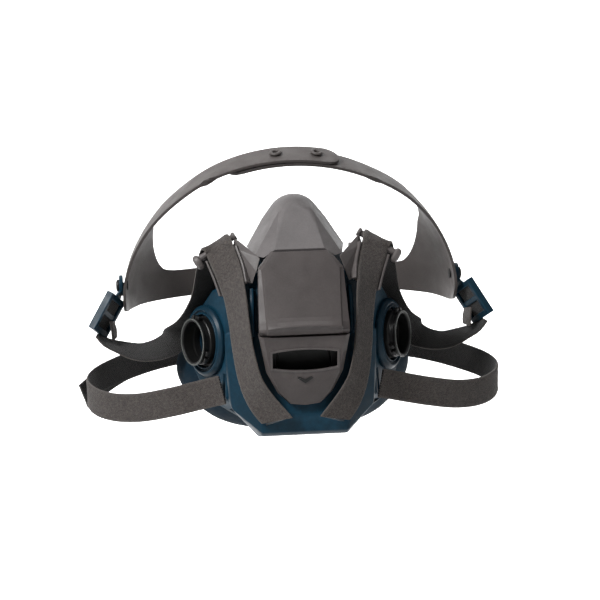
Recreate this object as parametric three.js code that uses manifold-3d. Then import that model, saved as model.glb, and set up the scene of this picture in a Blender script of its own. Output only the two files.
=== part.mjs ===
// Half-face respirator with a drop-down latch and a plastic head cradle.
// Millimetres. +Z up, the mask faces -Y, +X is the viewer's right.
// The origin is the centre of the face opening, in the plane of the cheeks.

import * as THREE from 'three';
import { mergeVertices } from 'three/addons/utils/BufferGeometryUtils.js';
import { ConvexGeometry } from 'three/addons/geometries/ConvexGeometry.js';
import Module from 'manifold-3d';

const wasm = await Module();
wasm.setup();

// ---------------------------------------------------------------- dimensions

const GAP = 0.35; // clearance between pieces that touch

const SEAL_WALL = 2.2; // silicone wall
const SEAL_POINTS = 28; // points round each ring of the face seal
const SHELL_WALL = 2.3; // moulded nose cone and front frame

const PORT = {
  centre: [53.2, -27.3, -10.5], // middle of the right port, on the frame's side panel
  axis: [0.883, -0.469, 0.05], // outward
  reach: 10, // how far the bayonet tube stands out
  tubeRadius: 13.8,
  boreRadius: 11.6,
  bezelRadius: 20.7,
  lugs: 3,
};

const EXHALE = {
  centre: [0, -62, -17],
  tilt: 8, // degrees that the outlet looks down
  seatRadius: 17,
  flapRadius: 15,
};

const LATCH_AXIS = { y: -38.5, z: 42 };
const LATCH_WIDTH = 50;
const PIN = { radius: 1.45, hole: 1.8, inner: 30, outer: 37.4 };

const STRAP = { width: 17, thickness: 1.6 };

const CRADLE = {
  halfWidth: 101,
  pivotY: 22,
  pivotZ: 17,
  backReach: 75, // from the pivot to the back of the band
  bandHeight: 17.5,
  bandZ: 9,
  crownHeight: 95, // top of the crown above the origin
  crownY: -14,
  crownWidth: 19,
  sheet: 1.7,
};

const BUCKLE = { length: 25, width: 21, thickness: 3.6, bar: 3.4 };

// ----------------------------------------------------------------- materials

const plastic = (color, roughness = 0.55) =>
  new THREE.MeshStandardMaterial({ color, roughness, metalness: 0 });

const MATERIALS = {
  silicone: plastic(0x1c4560, 0.5),
  frame: plastic(0x173f5a, 0.4),
  cone: plastic(0x787473, 0.6),
  cover: plastic(0x645d5c, 0.6),
  cradle: plastic(0x69625f, 0.6),
  webbing: plastic(0x78706c, 0.95),
  black: plastic(0x141414, 0.45),
  flap: plastic(0xb9b09a, 0.5),
};

// ------------------------------------------------------------------- helpers

const v = (x, y, z) => new THREE.Vector3(x, y, z);
const lerp = THREE.MathUtils.lerp;
const rad = THREE.MathUtils.degToRad;

function signedVolume(geometry) {
  const p = geometry.getAttribute('position');
  const index = geometry.getIndex();
  const [a, b, c] = [v(0, 0, 0), v(0, 0, 0), v(0, 0, 0)];
  let sum = 0;
  for (let i = 0; i < index.count; i += 3) {
    a.fromBufferAttribute(p, index.getX(i));
    b.fromBufferAttribute(p, index.getX(i + 1));
    c.fromBufferAttribute(p, index.getX(i + 2));
    sum += a.dot(b.clone().cross(c));
  }
  return sum / 6;
}

// Turn every face over when the solid is inside out.
function facingOut(geometry) {
  if (signedVolume(geometry) < 0) {
    const index = geometry.getIndex();
    for (let i = 0; i < index.count; i += 3) {
      const second = index.getX(i + 1);
      index.setX(i + 1, index.getX(i + 2));
      index.setX(i + 2, second);
    }
  }
  return geometry;
}

function positionsOnly(geometry) {
  const bare = geometry.clone();
  bare.deleteAttribute('normal');
  bare.deleteAttribute('uv');
  return mergeVertices(bare, 1e-4);
}

function toSolid(geometry) {
  const bare = facingOut(positionsOnly(geometry));
  return new wasm.Manifold(
    new wasm.Mesh({
      numProp: 3,
      vertProperties: Float32Array.from(bare.getAttribute('position').array),
      triVerts: Uint32Array.from(bare.getIndex().array),
    }),
  );
}

function fromSolid(solid) {
  const m = solid.getMesh();
  const geometry = new THREE.BufferGeometry();
  geometry.setAttribute('position', new THREE.BufferAttribute(Float32Array.from(m.vertProperties), 3));
  geometry.setIndex(new THREE.BufferAttribute(Uint32Array.from(m.triVerts), 1));
  return geometry;
}

const join = (first, ...others) =>
  fromSolid(others.reduce((sum, g) => sum.add(toSolid(g)), toSolid(first)));

const cut = (body, ...tools) =>
  fromSolid(tools.reduce((rest, g) => rest.subtract(toSolid(g)), toSolid(body)));

// The same solid on the other side of the plane X = 0.
function mirrored(geometry) {
  const copy = positionsOnly(geometry);
  copy.scale(-1, 1, 1);
  return facingOut(copy);
}

// A solid through rings that all have the same number of points. With loop the
// last ring joins the first, as in a hollow wall; without it both ends are capped,
// following the flat section where one is given.
function loft(rings, loop = false, section = null) {
  const n = rings[0].length;
  const points = rings.flat();
  const faces = [];
  const spans = loop ? rings.length : rings.length - 1;
  for (let r = 0; r < spans; r++) {
    const here = r * n;
    const there = ((r + 1) % rings.length) * n;
    for (let i = 0; i < n; i++) {
      const j = (i + 1) % n;
      faces.push(here + i, here + j, there + i);
      faces.push(here + j, there + j, there + i);
    }
  }
  if (!loop) {
    const last = (rings.length - 1) * n;
    const flat = (section ?? []).map(([a, o]) => new THREE.Vector2(a, o));
    const fan = Array.from({ length: n - 2 }, (_, i) => [0, i + 1, i + 2]);
    const cap = section ? THREE.ShapeUtils.triangulateShape(flat, []) : fan;
    for (const [i, j, k] of cap) {
      faces.push(i, k, j);
      faces.push(last + i, last + j, last + k);
    }
  }
  const geometry = new THREE.BufferGeometry();
  geometry.setAttribute('position', new THREE.Float32BufferAttribute(points.flatMap((p) => p.toArray()), 3));
  geometry.setIndex(faces);
  return facingOut(geometry);
}

const hull = (points) => positionsOnly(new ConvexGeometry(points.map((p) => v(...p))));

// Points given for X >= 0, with their mirror images.
const bothSides = (points) =>
  points.concat(points.filter((p) => p[0] !== 0).map(([x, y, z]) => [-x, y, z]));

// A block whose middle is at the given place.
function block([x, y, z], [cx, cy, cz]) {
  return positionsOnly(new THREE.BoxGeometry(x, y, z).translate(cx, cy, cz));
}

// A solid of revolution about its own +Z, from [radius, height] pairs.
function turned(profile, sides = 32, closed = true) {
  const points = profile.map(([r, z]) => new THREE.Vector2(r, z));
  if (closed) points.push(points[0].clone());
  return facingOut(positionsOnly(new THREE.LatheGeometry(points, sides).rotateX(Math.PI / 2)));
}

const ring = (inner, outer, low, high, sides) =>
  turned([[inner, low], [outer, low], [outer, high], [inner, high]], sides);

const disc = (radius, low, high, sides = 32) =>
  turned([[0, low], [radius, low], [radius, high], [0, high]], sides, false);

// A section of [across, out] pairs, carried through stations of [point, outward normal].
function swept(stations, section, steps) {
  const path = new THREE.CatmullRomCurve3(stations.map(([p]) => v(...p)), false, 'centripetal');
  const total = (stations.length - 1) * steps;
  const rings = [];
  for (let i = 0; i <= total; i++) {
    const u = i / total;
    const k = Math.min(Math.floor(u * (stations.length - 1)), stations.length - 2);
    const f = u * (stations.length - 1) - k;
    const normal = v(...stations[k][1]).lerp(v(...stations[k + 1][1]), f).normalize();
    const tangent = path.getTangent(u);
    const across = tangent.clone().cross(normal).normalize();
    const out = across.clone().cross(tangent).normalize();
    const middle = path.getPoint(u);
    rings.push(section.map(([a, o]) => middle.clone().addScaledVector(across, a).addScaledVector(out, o)));
  }
  return loft(rings, false, section);
}

// A flat strap through stations of [point, outward normal].
function strap(stations, width = STRAP.width, thickness = STRAP.thickness, steps = 3) {
  const [w, t] = [width / 2, thickness / 2];
  return swept(stations, [[-w, -t], [w, -t], [w, t], [-w, t]], steps);
}

// Place a solid made about its own +Z at a point, with +Z turned to an axis.
function aimed(geometry, centre, axis) {
  const turn = new THREE.Quaternion().setFromUnitVectors(v(0, 0, 1), v(...axis).normalize());
  return geometry.clone().applyQuaternion(turn).translate(...centre);
}

const model = new THREE.Group();

function piece(name, geometry, material) {
  const mesh = new THREE.Mesh(geometry, MATERIALS[material]);
  mesh.name = name;
  model.add(mesh);
}

// One piece for each side, made for the right and mirrored for the left.
function pair(name, geometry, material) {
  piece(`${name}_right`, geometry, material);
  piece(`${name}_left`, mirrored(geometry), material);
}

// ------------------------------------------------------------------ face seal

// Each outline is half a pear from the nose, round a cheek, to the chin.
const SEAL_FRONT = [[0, -50, 33], [14, -50, 31], [23, -49, 25], [29, -46, 13], [34, -43, -8],
  [35, -42, -32], [26, -46, -47], [0, -52, -50]];
const SEAL_CHEEK = [[0, -33, 58], [12, -35, 49], [22, -34, 38], [37, -28, 19], [49, -22, -8],
  [49, -20, -34], [37, -25, -53], [0, -31, -59]];
const SEAL_RIM = [[0, -14, 69], [12.5, -15, 57], [22, -13, 44], [41, -3, 28], [63, 9, -6],
  [73, 14, -38], [50, 4, -65], [0, -10, -70]];
const SEAL_LIP = [[0, -16, 53], [7, -16, 45], [13, -12, 36], [26, -4, 18], [45, 7, -9],
  [53, 11, -34], [34, 3, -50], [0, -10, -54]];

function pearRing(half) {
  const rest = half.slice(1, -1).reverse().map(([x, y, z]) => [-x, y, z]);
  const curve = new THREE.CatmullRomCurve3(half.concat(rest).map((p) => v(...p)), true, 'centripetal');
  return Array.from({ length: SEAL_POINTS }, (_, i) => curve.getPoint(i / SEAL_POINTS));
}

// The same ring, pulled towards its own middle and shifted along Y.
function pulledIn(points, distance, dy) {
  const middle = points.reduce((sum, p) => sum.add(p), v(0, 0, 0)).divideScalar(points.length);
  return points.map((p) => {
    const inward = v(middle.x - p.x, 0, middle.z - p.z).normalize();
    return p.clone().addScaledVector(inward, distance).add(v(0, dy, 0));
  });
}

const front = pearRing(SEAL_FRONT);
const cheek = pearRing(SEAL_CHEEK);
const rim = pearRing(SEAL_RIM);
const lip = pearRing(SEAL_LIP);
const between = (a, b, f) => a.map((p, i) => p.clone().lerp(b[i], f));
const bulge = pulledIn(between(cheek, rim, 0.5), -1.6, 0);

const sealWalls = loft(
  [
    front, cheek, bulge, rim, pulledIn(rim, 4, 2.2), lip,
    pulledIn(lip, 0.4, -1.6), pulledIn(rim, 4, 0.4),
    pulledIn(rim, SEAL_WALL, -1.2), pulledIn(bulge, SEAL_WALL, 0), pulledIn(cheek, SEAL_WALL, 0.6),
    pulledIn(front, SEAL_WALL, 1.2),
  ],
  true,
);

const aimedAtPort = (geometry) => aimed(geometry, PORT.centre, PORT.axis);
const portHole = aimedAtPort(disc(PORT.tubeRadius + 0.6, -16, 4));
piece('face_seal', cut(sealWalls, portHole, mirrored(portHole)), 'silicone');

// ------------------------------------------------------------------ nose cone

const CONE_OUTER = bothSides([
  [0, -17, 73.6], [7, -18, 71.8], [13, -19, 66.5], [18.8, -19, 59.4], [28.6, -25, 44.4],
  [6.2, -38, 64.6], [9.4, -36.2, 65.6], [5, -31, 70.4], [14, -57, 45.6], [14.4, -57, 44.8],
  [19, -53.6, 44.4], [25, -49, 44.4],
]);
const coneSolid = hull(CONE_OUTER);
const coneHollow = hull(
  bothSides([
    [0, -10, 71.2], [8.4, -10, 67.5], [15.6, -10, 58], [25.6, -10, 40],
    [5, -35.4, 62], [4, -30, 67.8], [12.4, -53.6, 44], [12.4, -53.6, 38], [17.4, -51, 38],
    [22.6, -47.4, 38], [26, -27, 40],
  ]),
);
piece('nose_cone', cut(coneSolid, coneHollow), 'cone');

// ---------------------------------------------------------------- front frame

// A point of the right side panel, from its Y and Z, moved in by a depth.
function onPanel(y, z, depth = 0) {
  const [ax, ay, az] = v(...PORT.axis).normalize().toArray();
  const [cx, cy, cz] = PORT.centre;
  return [cx - (ay * (y - cy) + az * (z - cz) + depth) / ax, y, z];
}

const PANEL_OUTLINE = [[-43, 22], [-30.5, 19.5], [-13.5, 2], [-9.6, -12], [-13.6, -30], [-29.5, -45],
  [-47.5, -41]];
const FRAME_OUTER = bothSides([
  ...PANEL_OUTLINE.map(([y, z]) => onPanel(y, z)),
  [22, -56.5, 34], [41, -52, -46], [25, -66, -57.5], [27, -60, 10], [29, -64.5, -36],
  [14, -67.5, -47], [26, -46, -65], [20, -48, 34],
]);
const FRAME_INNER = bothSides([
  onPanel(-42, 28, SHELL_WALL), onPanel(-27, 28, SHELL_WALL), onPanel(-6, 6, SHELL_WALL),
  onPanel(0, -14, SHELL_WALL), onPanel(-4, -32, SHELL_WALL), onPanel(-22, -46, SHELL_WALL),
  onPanel(-45.6, -40, SHELL_WALL),
  [20, -54.2, 40], [20, -30, 40], [38.8, -49.4, -44.4], [24, -62.8, -55], [25, -57.5, 10],
  [27, -61.8, -35], [13, -64.8, -45], [25, -40, -62.6], [30, 5, -60], [40, 10, 20],
]);
const framePortHole = aimedAtPort(disc(15.4, -6, 6));
const exhaleAxis = [0, -Math.cos(rad(EXHALE.tilt)), -Math.sin(rad(EXHALE.tilt))];
const aimedAtOutlet = (geometry) => aimed(geometry, EXHALE.centre, exhaleAxis);
const outletHole = aimedAtOutlet(disc(EXHALE.seatRadius + GAP, -8, 10));
const neckSlot = hull([-27, -44.5].flatMap((z) => [
  onPanel(-46.5, z, -4), onPanel(-43.8, z, -4), onPanel(-46.5, z, 6), onPanel(-43.8, z, 6),
]));
const chinSlot = hull(
  [[9.5, -75, -49.5], [9.5, -75, -47], [22.5, -75, -53.5], [22.5, -75, -51],
    [9.5, -58, -49.5], [9.5, -58, -47], [22.5, -58, -53.5], [22.5, -58, -51]],
);
const frameShell = cut(
  hull(FRAME_OUTER), hull(FRAME_INNER),
  framePortHole, mirrored(framePortHole), outletHole,
  neckSlot, mirrored(neckSlot), chinSlot, mirrored(chinSlot),
);

// The ears that the latch turns on, and the rib on each side of the latch cover.
const onLatchAxis = (geometry, x) => aimed(geometry, [x, LATCH_AXIS.y, LATCH_AXIS.z], [1, 0, 0]);
const EAR = { low: 33.6, high: 36.4 };
const ear = join(
  onLatchAxis(disc(3.2, 0, EAR.high - EAR.low, 20), EAR.low),
  hull([EAR.low, EAR.high].flatMap((x) => [
    [x, -47.4, 24], [x, -42.6, 24], [x, -41.5, 28], [x, -35.6, 40.6], [x, -41.5, 42.6], [x, -47, 30],
  ])),
);
const rib = hull([
  [27.4, -64.5, 5], [29, -63.5, 5], [27.4, -64.5, 19], [29, -63.5, 19],
  [27, -57.5, 2], [30, -55.5, 2], [27, -56.5, 21], [30, -54.5, 21],
]);
const pinHole = onLatchAxis(disc(PIN.radius + 0.06, -60, 60, 16), 0);
piece(
  'front_frame',
  cut(join(frameShell, ear, mirrored(ear), rib, mirrored(rib)), pinHole),
  'frame',
);

// ------------------------------------------------------------ exhalation valve

const spider = (inner, outer, hub, low, high, spokes) => {
  const arms = Array.from({ length: spokes }, (_, i) =>
    block([outer + inner, 1.6, high - low], [0, 0, (low + high) / 2]).rotateZ((i * Math.PI) / spokes));
  return join(ring(inner, outer, low, high), disc(hub, low, high, 16), ...arms.map((arm) =>
    cut(arm, ring(outer - 0.2, outer + inner, low - 1, high + 1))));
};

piece('exhale_valve_seat', aimedAtOutlet(spider(13.4, EXHALE.seatRadius, 2.4, -1.5, 1.2, 3)), 'black');
piece('exhale_valve', aimedAtOutlet(disc(EXHALE.flapRadius, 1.55, 2.35)), 'flap');

// ------------------------------------------------------------ exhalation cover

const COVER_OUTLINE = [[0, -0.9], [26.2, -0.9], [25.4, -9], [23.4, -20.5], [17.6, -30], [9, -39.6],
  [0, -41.4]];
const coverFace = ([x, z], inset, lift) => {
  const shrink = 1 - inset / 26;
  return [x * shrink, -80.2 + (z + 0.9) * -0.17 + lift, z * (1 - inset / 60) - inset * 0.2];
};
const coverOuter = hull(
  bothSides([
    ...COVER_OUTLINE.map((p) => coverFace(p, 2.2, 0)),
    ...COVER_OUTLINE.map((p) => coverFace(p, 0, 3.5)),
    ...COVER_OUTLINE.map(([x, z]) => [x, -68.4, z]),
  ]),
);
const coverInner = hull(
  bothSides([
    ...COVER_OUTLINE.map(([x, z]) => [x * 0.9, -77.5 - z * 0.17, (z + 20) * 0.9 - 20]),
    ...COVER_OUTLINE.map(([x, z]) => [x * 0.91, -60, (z + 20) * 0.9 - 20]),
  ]),
);
const WINDOW = { width: 39.4, low: -20.4, high: -9.6 };
const window = block(
  [WINDOW.width, 16, WINDOW.high - WINDOW.low],
  [0, -78, (WINDOW.high + WINDOW.low) / 2],
);
piece('exhale_cover', cut(coverOuter, coverInner, window), 'cover');

// The front run of an upper strap, from the chin to the latch's bar.
const FRONT_RUN = [
  [[16.5, -72.2, -49.5], [0.2, -0.97, -0.1]],
  [[24.7, -71, -38.9], [0.3, -0.95, 0]],
  [[30.2, -69.4, -27.8], [0.5, -0.85, 0]],
  [[33.8, -66.4, -11.1], [0.62, -0.78, 0]],
  [[35.6, -62.5, 5.4], [0.67, -0.74, 0]],
  [[37.6, -57.5, 21.9], [0.62, -0.78, 0.1]],
  [[40.4, -51.5, 33.5], [0.5, -0.82, 0.25]],
  [[44.2, -45.6, 43.6], [0.46, -0.72, 0.5]],
];

// ----------------------------------------------------------------------- latch

const half = LATCH_WIDTH / 2;
const latchOuter = hull(
  bothSides([
    [16, -60.8, 43.6], [half - 0.4, -59, 34.6], [half + 0.8, -74.5, 0.6], [20.8, -77.6, 0.4],
    [21.6, -66, 33.6], [21.6, -79.6, 10], [half + 0.4, -75.6, 9],
    [16, -58.2, 43.6], [half - 0.4, -56, 35.6], [half + 0.4, -57.4, 33], [half + 0.4, -70.4, 0.4],
  ]),
);
const latchInner = hull(
  bothSides([
    [14.6, -58.6, 44.6], [22.6, -58.4, 34], [22.4, -77, 9.6], [23.4, -74.4, -4], [23.4, -60, -4],
    [23.4, -38, 30], [22.6, -38, 34.6], [14.6, -38, 44.6],
  ]),
);
const fingerLip = hull(
  bothSides([
    [half, -82, 0.6], [half, -77.4, 0.4], [half, -77.4, 5], [half - 0.4, -79.6, 6],
    [12, -84, 3.4], [0, -84.4, 3.9], [0, -77.4, 2.6], [0, -79.8, 8],
  ]),
);
piece('latch_cover', cut(join(latchOuter, fingerLip), latchInner), 'cover');

// A pin through each wing's boss and the frame's ear beside it.
const latchPin = join(
  disc(PIN.radius, 0, PIN.outer - PIN.inner, 16),
  disc(2.3, PIN.outer - PIN.inner - 0.6, PIN.outer - PIN.inner + 0.4, 16),
);
pair('latch_pin', onLatchAxis(latchPin, PIN.inner), 'black');

// Each wing reaches from the cover's shoulder to the bar that the strap turns over.
const BAR = { inner: [36.5, -39, 51.6], outer: [55, -41, 40.4], radius: 1.9 };
const shoulder = half + 1.2;
const web = hull([
  [shoulder, -59.4, 33.6], [shoulder, -57, 33], [shoulder, -51.6, 42.4], [shoulder, -49.4, 41.2],
  [36.6, -41.4, 52.6], [36.6, -38.6, 51.4], [33.4, -43.6, 51.2], [33, -40.6, 50],
  [31.4, -58, 26.2], [32.6, -55.4, 26.4], [38, -46.4, 40], [37.4, -44.6, 40],
]);
// The trough that the strap lies in, from the bar down to the frame.
const CHANNEL = [
  [[44.6, -45, 44.6], [0.46, -0.72, 0.5]],
  [[40.4, -51.5, 33.5], [0.5, -0.82, 0.25]],
  [[38.2, -56.2, 24.6], [0.6, -0.78, 0.12]],
];
const channelHalf = STRAP.width / 2 + 0.6;
const CHANNEL_SECTION = [
  [-channelHalf - 1.2, -2.8], [channelHalf + 1.2, -2.8], [channelHalf + 1.2, 0.9], [channelHalf, 0.9],
  [channelHalf, -1.3], [-channelHalf, -1.3], [-channelHalf, 0.9], [-channelHalf - 1.2, 0.9],
];
const channel = swept(CHANNEL, CHANNEL_SECTION, 4);
const barAxis = v(...BAR.outer).sub(v(...BAR.inner));
const barLength = barAxis.length();
const barEnd = barAxis.clone().normalize();
const bar = aimed(disc(BAR.radius, -2.6, barLength + 3.4, 12), BAR.inner, barEnd.toArray());
const barCheek = (at) => {
  const [x, y, z] = v(...BAR.inner).addScaledVector(barEnd, at).toArray();
  return hull([0, 1.6].flatMap((d) => [[0, 2], [0, -1.9], [-3.4, -4.4], [-4.4, -1.2]].map(([py, pz]) =>
    [x + barEnd.x * d + pz * -0.25, y + py * 1.1, z + barEnd.z * d + pz * 1.1])));
};
const strapPath = swept(
  [FRONT_RUN.at(-3), FRONT_RUN.at(-2), FRONT_RUN.at(-1)],
  [[-channelHalf, -1.25], [channelHalf, -1.25], [channelHalf, 4], [-channelHalf, 4]],
  4,
);
const bossWidth = EAR.low - GAP - PIN.inner;
const wingBoss = join(
  onLatchAxis(disc(3.8, 0, bossWidth, 20), PIN.inner),
  hull([PIN.inner, PIN.inner + bossWidth].flatMap((x) => [
    [x, -47, 38], [x, -47, 44], [x, -40, 38.4], [x, -40, 45.6],
  ])),
);
const wing = cut(
  join(channel, cut(web, strapPath), bar, barCheek(-1.6), barCheek(barLength), wingBoss),
  onLatchAxis(disc(PIN.hole, -60, 60, 16), 0),
);
pair('latch_wing', wing, 'cover');

// ----------------------------------------------------------- filter connections

const tubeShell = ring(PORT.boreRadius, PORT.tubeRadius, -7, PORT.reach, 36);
const lugs = Array.from({ length: PORT.lugs }, (_, i) =>
  block([2.6, 5.4, 3], [PORT.tubeRadius + 0.4, 0, PORT.reach - 3.5])
    .rotateZ((i * 2 * Math.PI) / PORT.lugs + 0.6));
pair('port_tube', aimedAtPort(join(tubeShell, ring(12.5, 14.9, -1.2, 1.6, 36), ...lugs)), 'black');

const bezel = turned([[15.8, 0.35], [PORT.bezelRadius, 0.35], [PORT.bezelRadius, 2.2],
  [PORT.bezelRadius - 1.8, 3.6], [17.2, 3.6], [15.8, 1.4]], 36);
pair('port_bezel', aimedAtPort(bezel), 'frame');

const seatOuter = PORT.boreRadius - GAP;
pair('port_gasket', aimedAtPort(ring(9.4, seatOuter, -3.4, -1.2)), 'silicone');
pair('inhale_valve_seat', aimedAtPort(spider(9.4, seatOuter, 2, -5.4, -3.8, 2)), 'black');
pair('inhale_valve', aimedAtPort(disc(10.4, -6.6, -5.75, 28)), 'flap');

// ------------------------------------------------------------------- harness

pair('upper_strap_front', strap(FRONT_RUN), 'webbing');

const REAR_RUN = [
  [[47.4, -34.4, 44.8], [0.5, 0.75, 0.5]],
  [[51.8, -27.4, 32], [0.75, 0.3, 0.6]],
  [[58, -17, 15], [0.82, -0.1, 0.55]],
  [[67.5, -5, -2], [0.75, -0.25, 0.6]],
  [[79, 2.5, -16], [0.5, -0.3, 0.8]],
  [[93, 7, -21], [0.1, -0.35, 0.93]],
  [[106, 10, -18], [-0.3, -0.35, 0.85]],
  [[115, 12.2, -14], [-0.6, -0.3, 0.7]],
];
pair('upper_strap_rear', strap(REAR_RUN), 'webbing');

const TAIL = [
  [[105.4, 13.6, -4.6], [-0.75, -0.55, -0.3]],
  [[101.4, 12.2, -10], [-0.85, -0.5, 0]],
  [[100.4, 12.4, -15], [-0.9, -0.4, 0.1]],
];
pair('upper_strap_tail', strap(TAIL, 15), 'webbing');

// The neck strap leaves the frame under each port and goes round behind the neck.
const NECK_RUN = [
  [46, -48, -35.8], [51, -45.6, -37.2], [60, -42.4, -39.8], [76.2, -38, -44], [94.9, -29, -48.4],
  [110.5, -18.5, -49.6], [121.6, -5.5, -48.2], [126, 8.5, -45.4], [121, 24, -42.1],
  [106.2, 36, -37.5], [89.4, 44.5, -33.6], [70.8, 51.5, -31], [48, 57.5, -30], [23.4, 61.6, -30],
];
const neckStations = (points) => points.map((p, i) => {
  const a = v(...points[Math.max(i - 1, 0)]);
  const b = v(...points[Math.min(i + 1, points.length - 1)]);
  const along = b.sub(a).normalize();
  return [p, v(along.y, -along.x, 0).normalize().toArray()];
});
const leftward = (points) => points.map(([x, y, z]) => [-x, y, z]);
const neckStrap = (points) => strap(neckStations(points), STRAP.width, STRAP.thickness, 2);
piece('neck_strap_right', neckStrap(NECK_RUN), 'webbing');
piece('neck_strap_left', neckStrap(leftward(NECK_RUN)), 'webbing');

// The spare end of the left strap lies along its outer side and stands off at the loop.
const NECK_TAIL = [
  [-24, 64.2, -30], [-48, 60.6, -30], [-70.8, 54.8, -31], [-89.4, 48, -33.8], [-106.2, 39.8, -38.4],
  [-119.6, 30.4, -45], [-129.6, 20.4, -51],
];
piece('neck_strap_tail', neckStrap(NECK_TAIL), 'webbing');

// The neck clip: a hook on the left strap and a loop on the right one.
const CLIP = { y: 62, z: -30, reach: 22 };
const clipPart = (size, x, y) => block(size, [x, CLIP.y + y, CLIP.z]);
const clipHook = join(
  clipPart([CLIP.reach - 1, 3, 19], -(CLIP.reach + 1) / 2 - 0.4, 0),
  clipPart([5, 1.4, 9], 0.6, 0.6),
);
const clipLoop = cut(
  clipPart([CLIP.reach, 4.4, 19.6], CLIP.reach / 2 + 0.3, 0),
  clipPart([8, 3, 10.2], 1.5, 0.6),
);
piece('neck_clip_hook', clipHook, 'black');
piece('neck_clip_loop', clipLoop, 'black');

// ------------------------------------------------------------------- buckles

const buckleAlong = v(12.5, -6.5, -21).normalize();
const buckleAcross = v(0.36, -0.86, 0.34).projectOnPlane(buckleAlong).normalize();
const buckleOut = buckleAlong.clone().cross(buckleAcross);
const BUCKLE_TOP = [106.6, 18.2, 10.8];
const buckleFrame = new THREE.Matrix4()
  .makeBasis(buckleAcross, buckleAlong, buckleOut.negate())
  .setPosition(...BUCKLE_TOP);

function buckleGeometry() {
  const { length, width, thickness, bar: across } = BUCKLE;
  const outline = block([width, length, thickness], [0, length / 2, 0]);
  const gap = (length - 3 * across - 1) / 2;
  const slot = (middle) => block([width - 6, gap, thickness * 2], [0, middle, 0]);
  const body = cut(outline, slot(across + gap / 2), slot(length - across - gap / 2));
  const placed = body.applyMatrix4(buckleFrame);
  const eye = aimed(disc(6.2, 0, 2.2, 24), [102.6, CRADLE.pivotY, CRADLE.pivotZ], [1, 0, 0]);
  const neck = hull([
    [102.6, 17, 15], [102.6, 27, 15], [104.4, 17, 15], [104.4, 27, 15],
    [104.4, 24, 8.2], [106, 23.6, 7.2], [107.2, 12.4, 9.8], [109, 12.8, 8.8],
  ]);
  const studHole = aimed(disc(3, -5, 12, 20), [102.6, CRADLE.pivotY, CRADLE.pivotZ], [1, 0, 0]);
  return cut(join(placed, eye, neck), studHole);
}
pair('buckle', buckleGeometry(), 'frame');

// --------------------------------------------------------------- head cradle

// A band of plastic sheet through stations of {middle, across, width, out}.
function sheetBand(stations) {
  const rings = stations.map(({ middle, across, width, out }) => {
    const corner = (a, b) =>
      middle.clone().addScaledVector(across, (a * width) / 2).addScaledVector(out, (b * CRADLE.sheet) / 2);
    return [corner(-1, -1), corner(1, -1), corner(1, 1), corner(-1, 1)];
  });
  return loft(rings);
}

function backBand() {
  const stations = [];
  const reach = 0.16;
  for (let i = 0; i <= 40; i++) {
    const s = lerp(-reach, Math.PI + reach, i / 40);
    const nearPivot = Math.min(1, Math.max(0, (Math.sin(s) - 0.05) / 0.35));
    const width = lerp(30, CRADLE.bandHeight, nearPivot);
    const z = lerp(15.5, CRADLE.bandZ, nearPivot);
    stations.push({
      middle: v(CRADLE.halfWidth * Math.cos(s), CRADLE.pivotY + CRADLE.backReach * Math.sin(s), z),
      out: v(Math.cos(s) * CRADLE.backReach, Math.sin(s) * CRADLE.halfWidth, 0).normalize(),
      across: v(0, 0, 1),
      width,
    });
  }
  return sheetBand(stations);
}

// The crown is an elliptical arch that leans forward from the pivots. Each arm runs
// past the middle; lift separates the two layers where they overlap.
const CROWN = { halfWidth: 102, centreZ: 5, rise: CRADLE.crownHeight - 5, baseZ: 20 };
const crownStart = Math.asin((CROWN.baseZ - CROWN.centreZ) / CROWN.rise);
const crownRise = (angle) =>
  Math.max(0, (Math.sin(angle) - Math.sin(crownStart)) / (1 - Math.sin(crownStart)));
function crownPoint(angle) {
  return v(
    CROWN.halfWidth * Math.cos(angle),
    lerp(CRADLE.pivotY + 4, CRADLE.crownY, crownRise(angle)),
    CROWN.centreZ + CROWN.rise * Math.sin(angle),
  );
}

function crownArm(side, endX, lift) {
  const stations = [];
  const endAngle = Math.acos(Math.abs(endX) / CROWN.halfWidth);
  const stop = Math.sign(endX) === side ? endAngle : Math.PI - endAngle;
  const steps = 20;
  for (let i = 0; i <= steps; i++) {
    const a = lerp(crownStart, stop, i / steps);
    const here = crownPoint(a);
    const ahead = crownPoint(a + 0.01).sub(crownPoint(a - 0.01)).normalize();
    const rise = crownRise(a);
    const across = v(0, lerp(1, 0.93, rise), lerp(0, 0.37, rise)).projectOnPlane(ahead).normalize();
    const out = across.clone().cross(ahead).normalize();
    if (out.x * Math.cos(a) + out.z * Math.sin(a) < 0) out.negate();
    const overlap = THREE.MathUtils.smoothstep(a, 0.75, 1.15);
    const middle = here.addScaledVector(out, lift * overlap);
    const width = lerp(28, CRADLE.crownWidth, Math.min(1, rise / 0.6));
    stations.push({ middle, across, out, width });
  }
  const mirror = (p) => v(side * p.x, p.y, p.z);
  return sheetBand(stations.map((s) => ({
    ...s, middle: mirror(s.middle), across: mirror(s.across), out: mirror(s.out),
  })));
}

const LAYER = 1.15; // half the distance between the two layers of the crown
const crownOut = (x) => {
  const angle = Math.acos(x / CROWN.halfWidth);
  const tilt = v(0, -0.37, 0.93).add(v(x / 140, 0, 0)).normalize();
  return { place: crownPoint(angle), tilt };
};
const SNAPS = [-9, 14.5];
const SPARE_HOLE = -32;
const snapPost = (x) => {
  const { place, tilt } = crownOut(x);
  const post = join(disc(1.9, -LAYER, 2.6, 14), disc(3.4, 2.5, 3.8, 18));
  return aimed(post, place.toArray(), tilt.toArray());
};
const snapHole = (x) => {
  const { place, tilt } = crownOut(x);
  return aimed(disc(2.7, 0.1, 5, 16), place.toArray(), tilt.toArray());
};
const diamond = hull([
  [80, 34, 18.5], [80, 37.4, 12], [80, 34, 5.5], [80, 30.6, 12],
  [110, 34, 18.5], [110, 37.4, 12], [110, 34, 5.5], [110, 30.6, 12],
]);
const studThrough = aimed(disc(2.2, -10, 10, 16), [100, CRADLE.pivotY, CRADLE.pivotZ], [1, 0, 0]);

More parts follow.
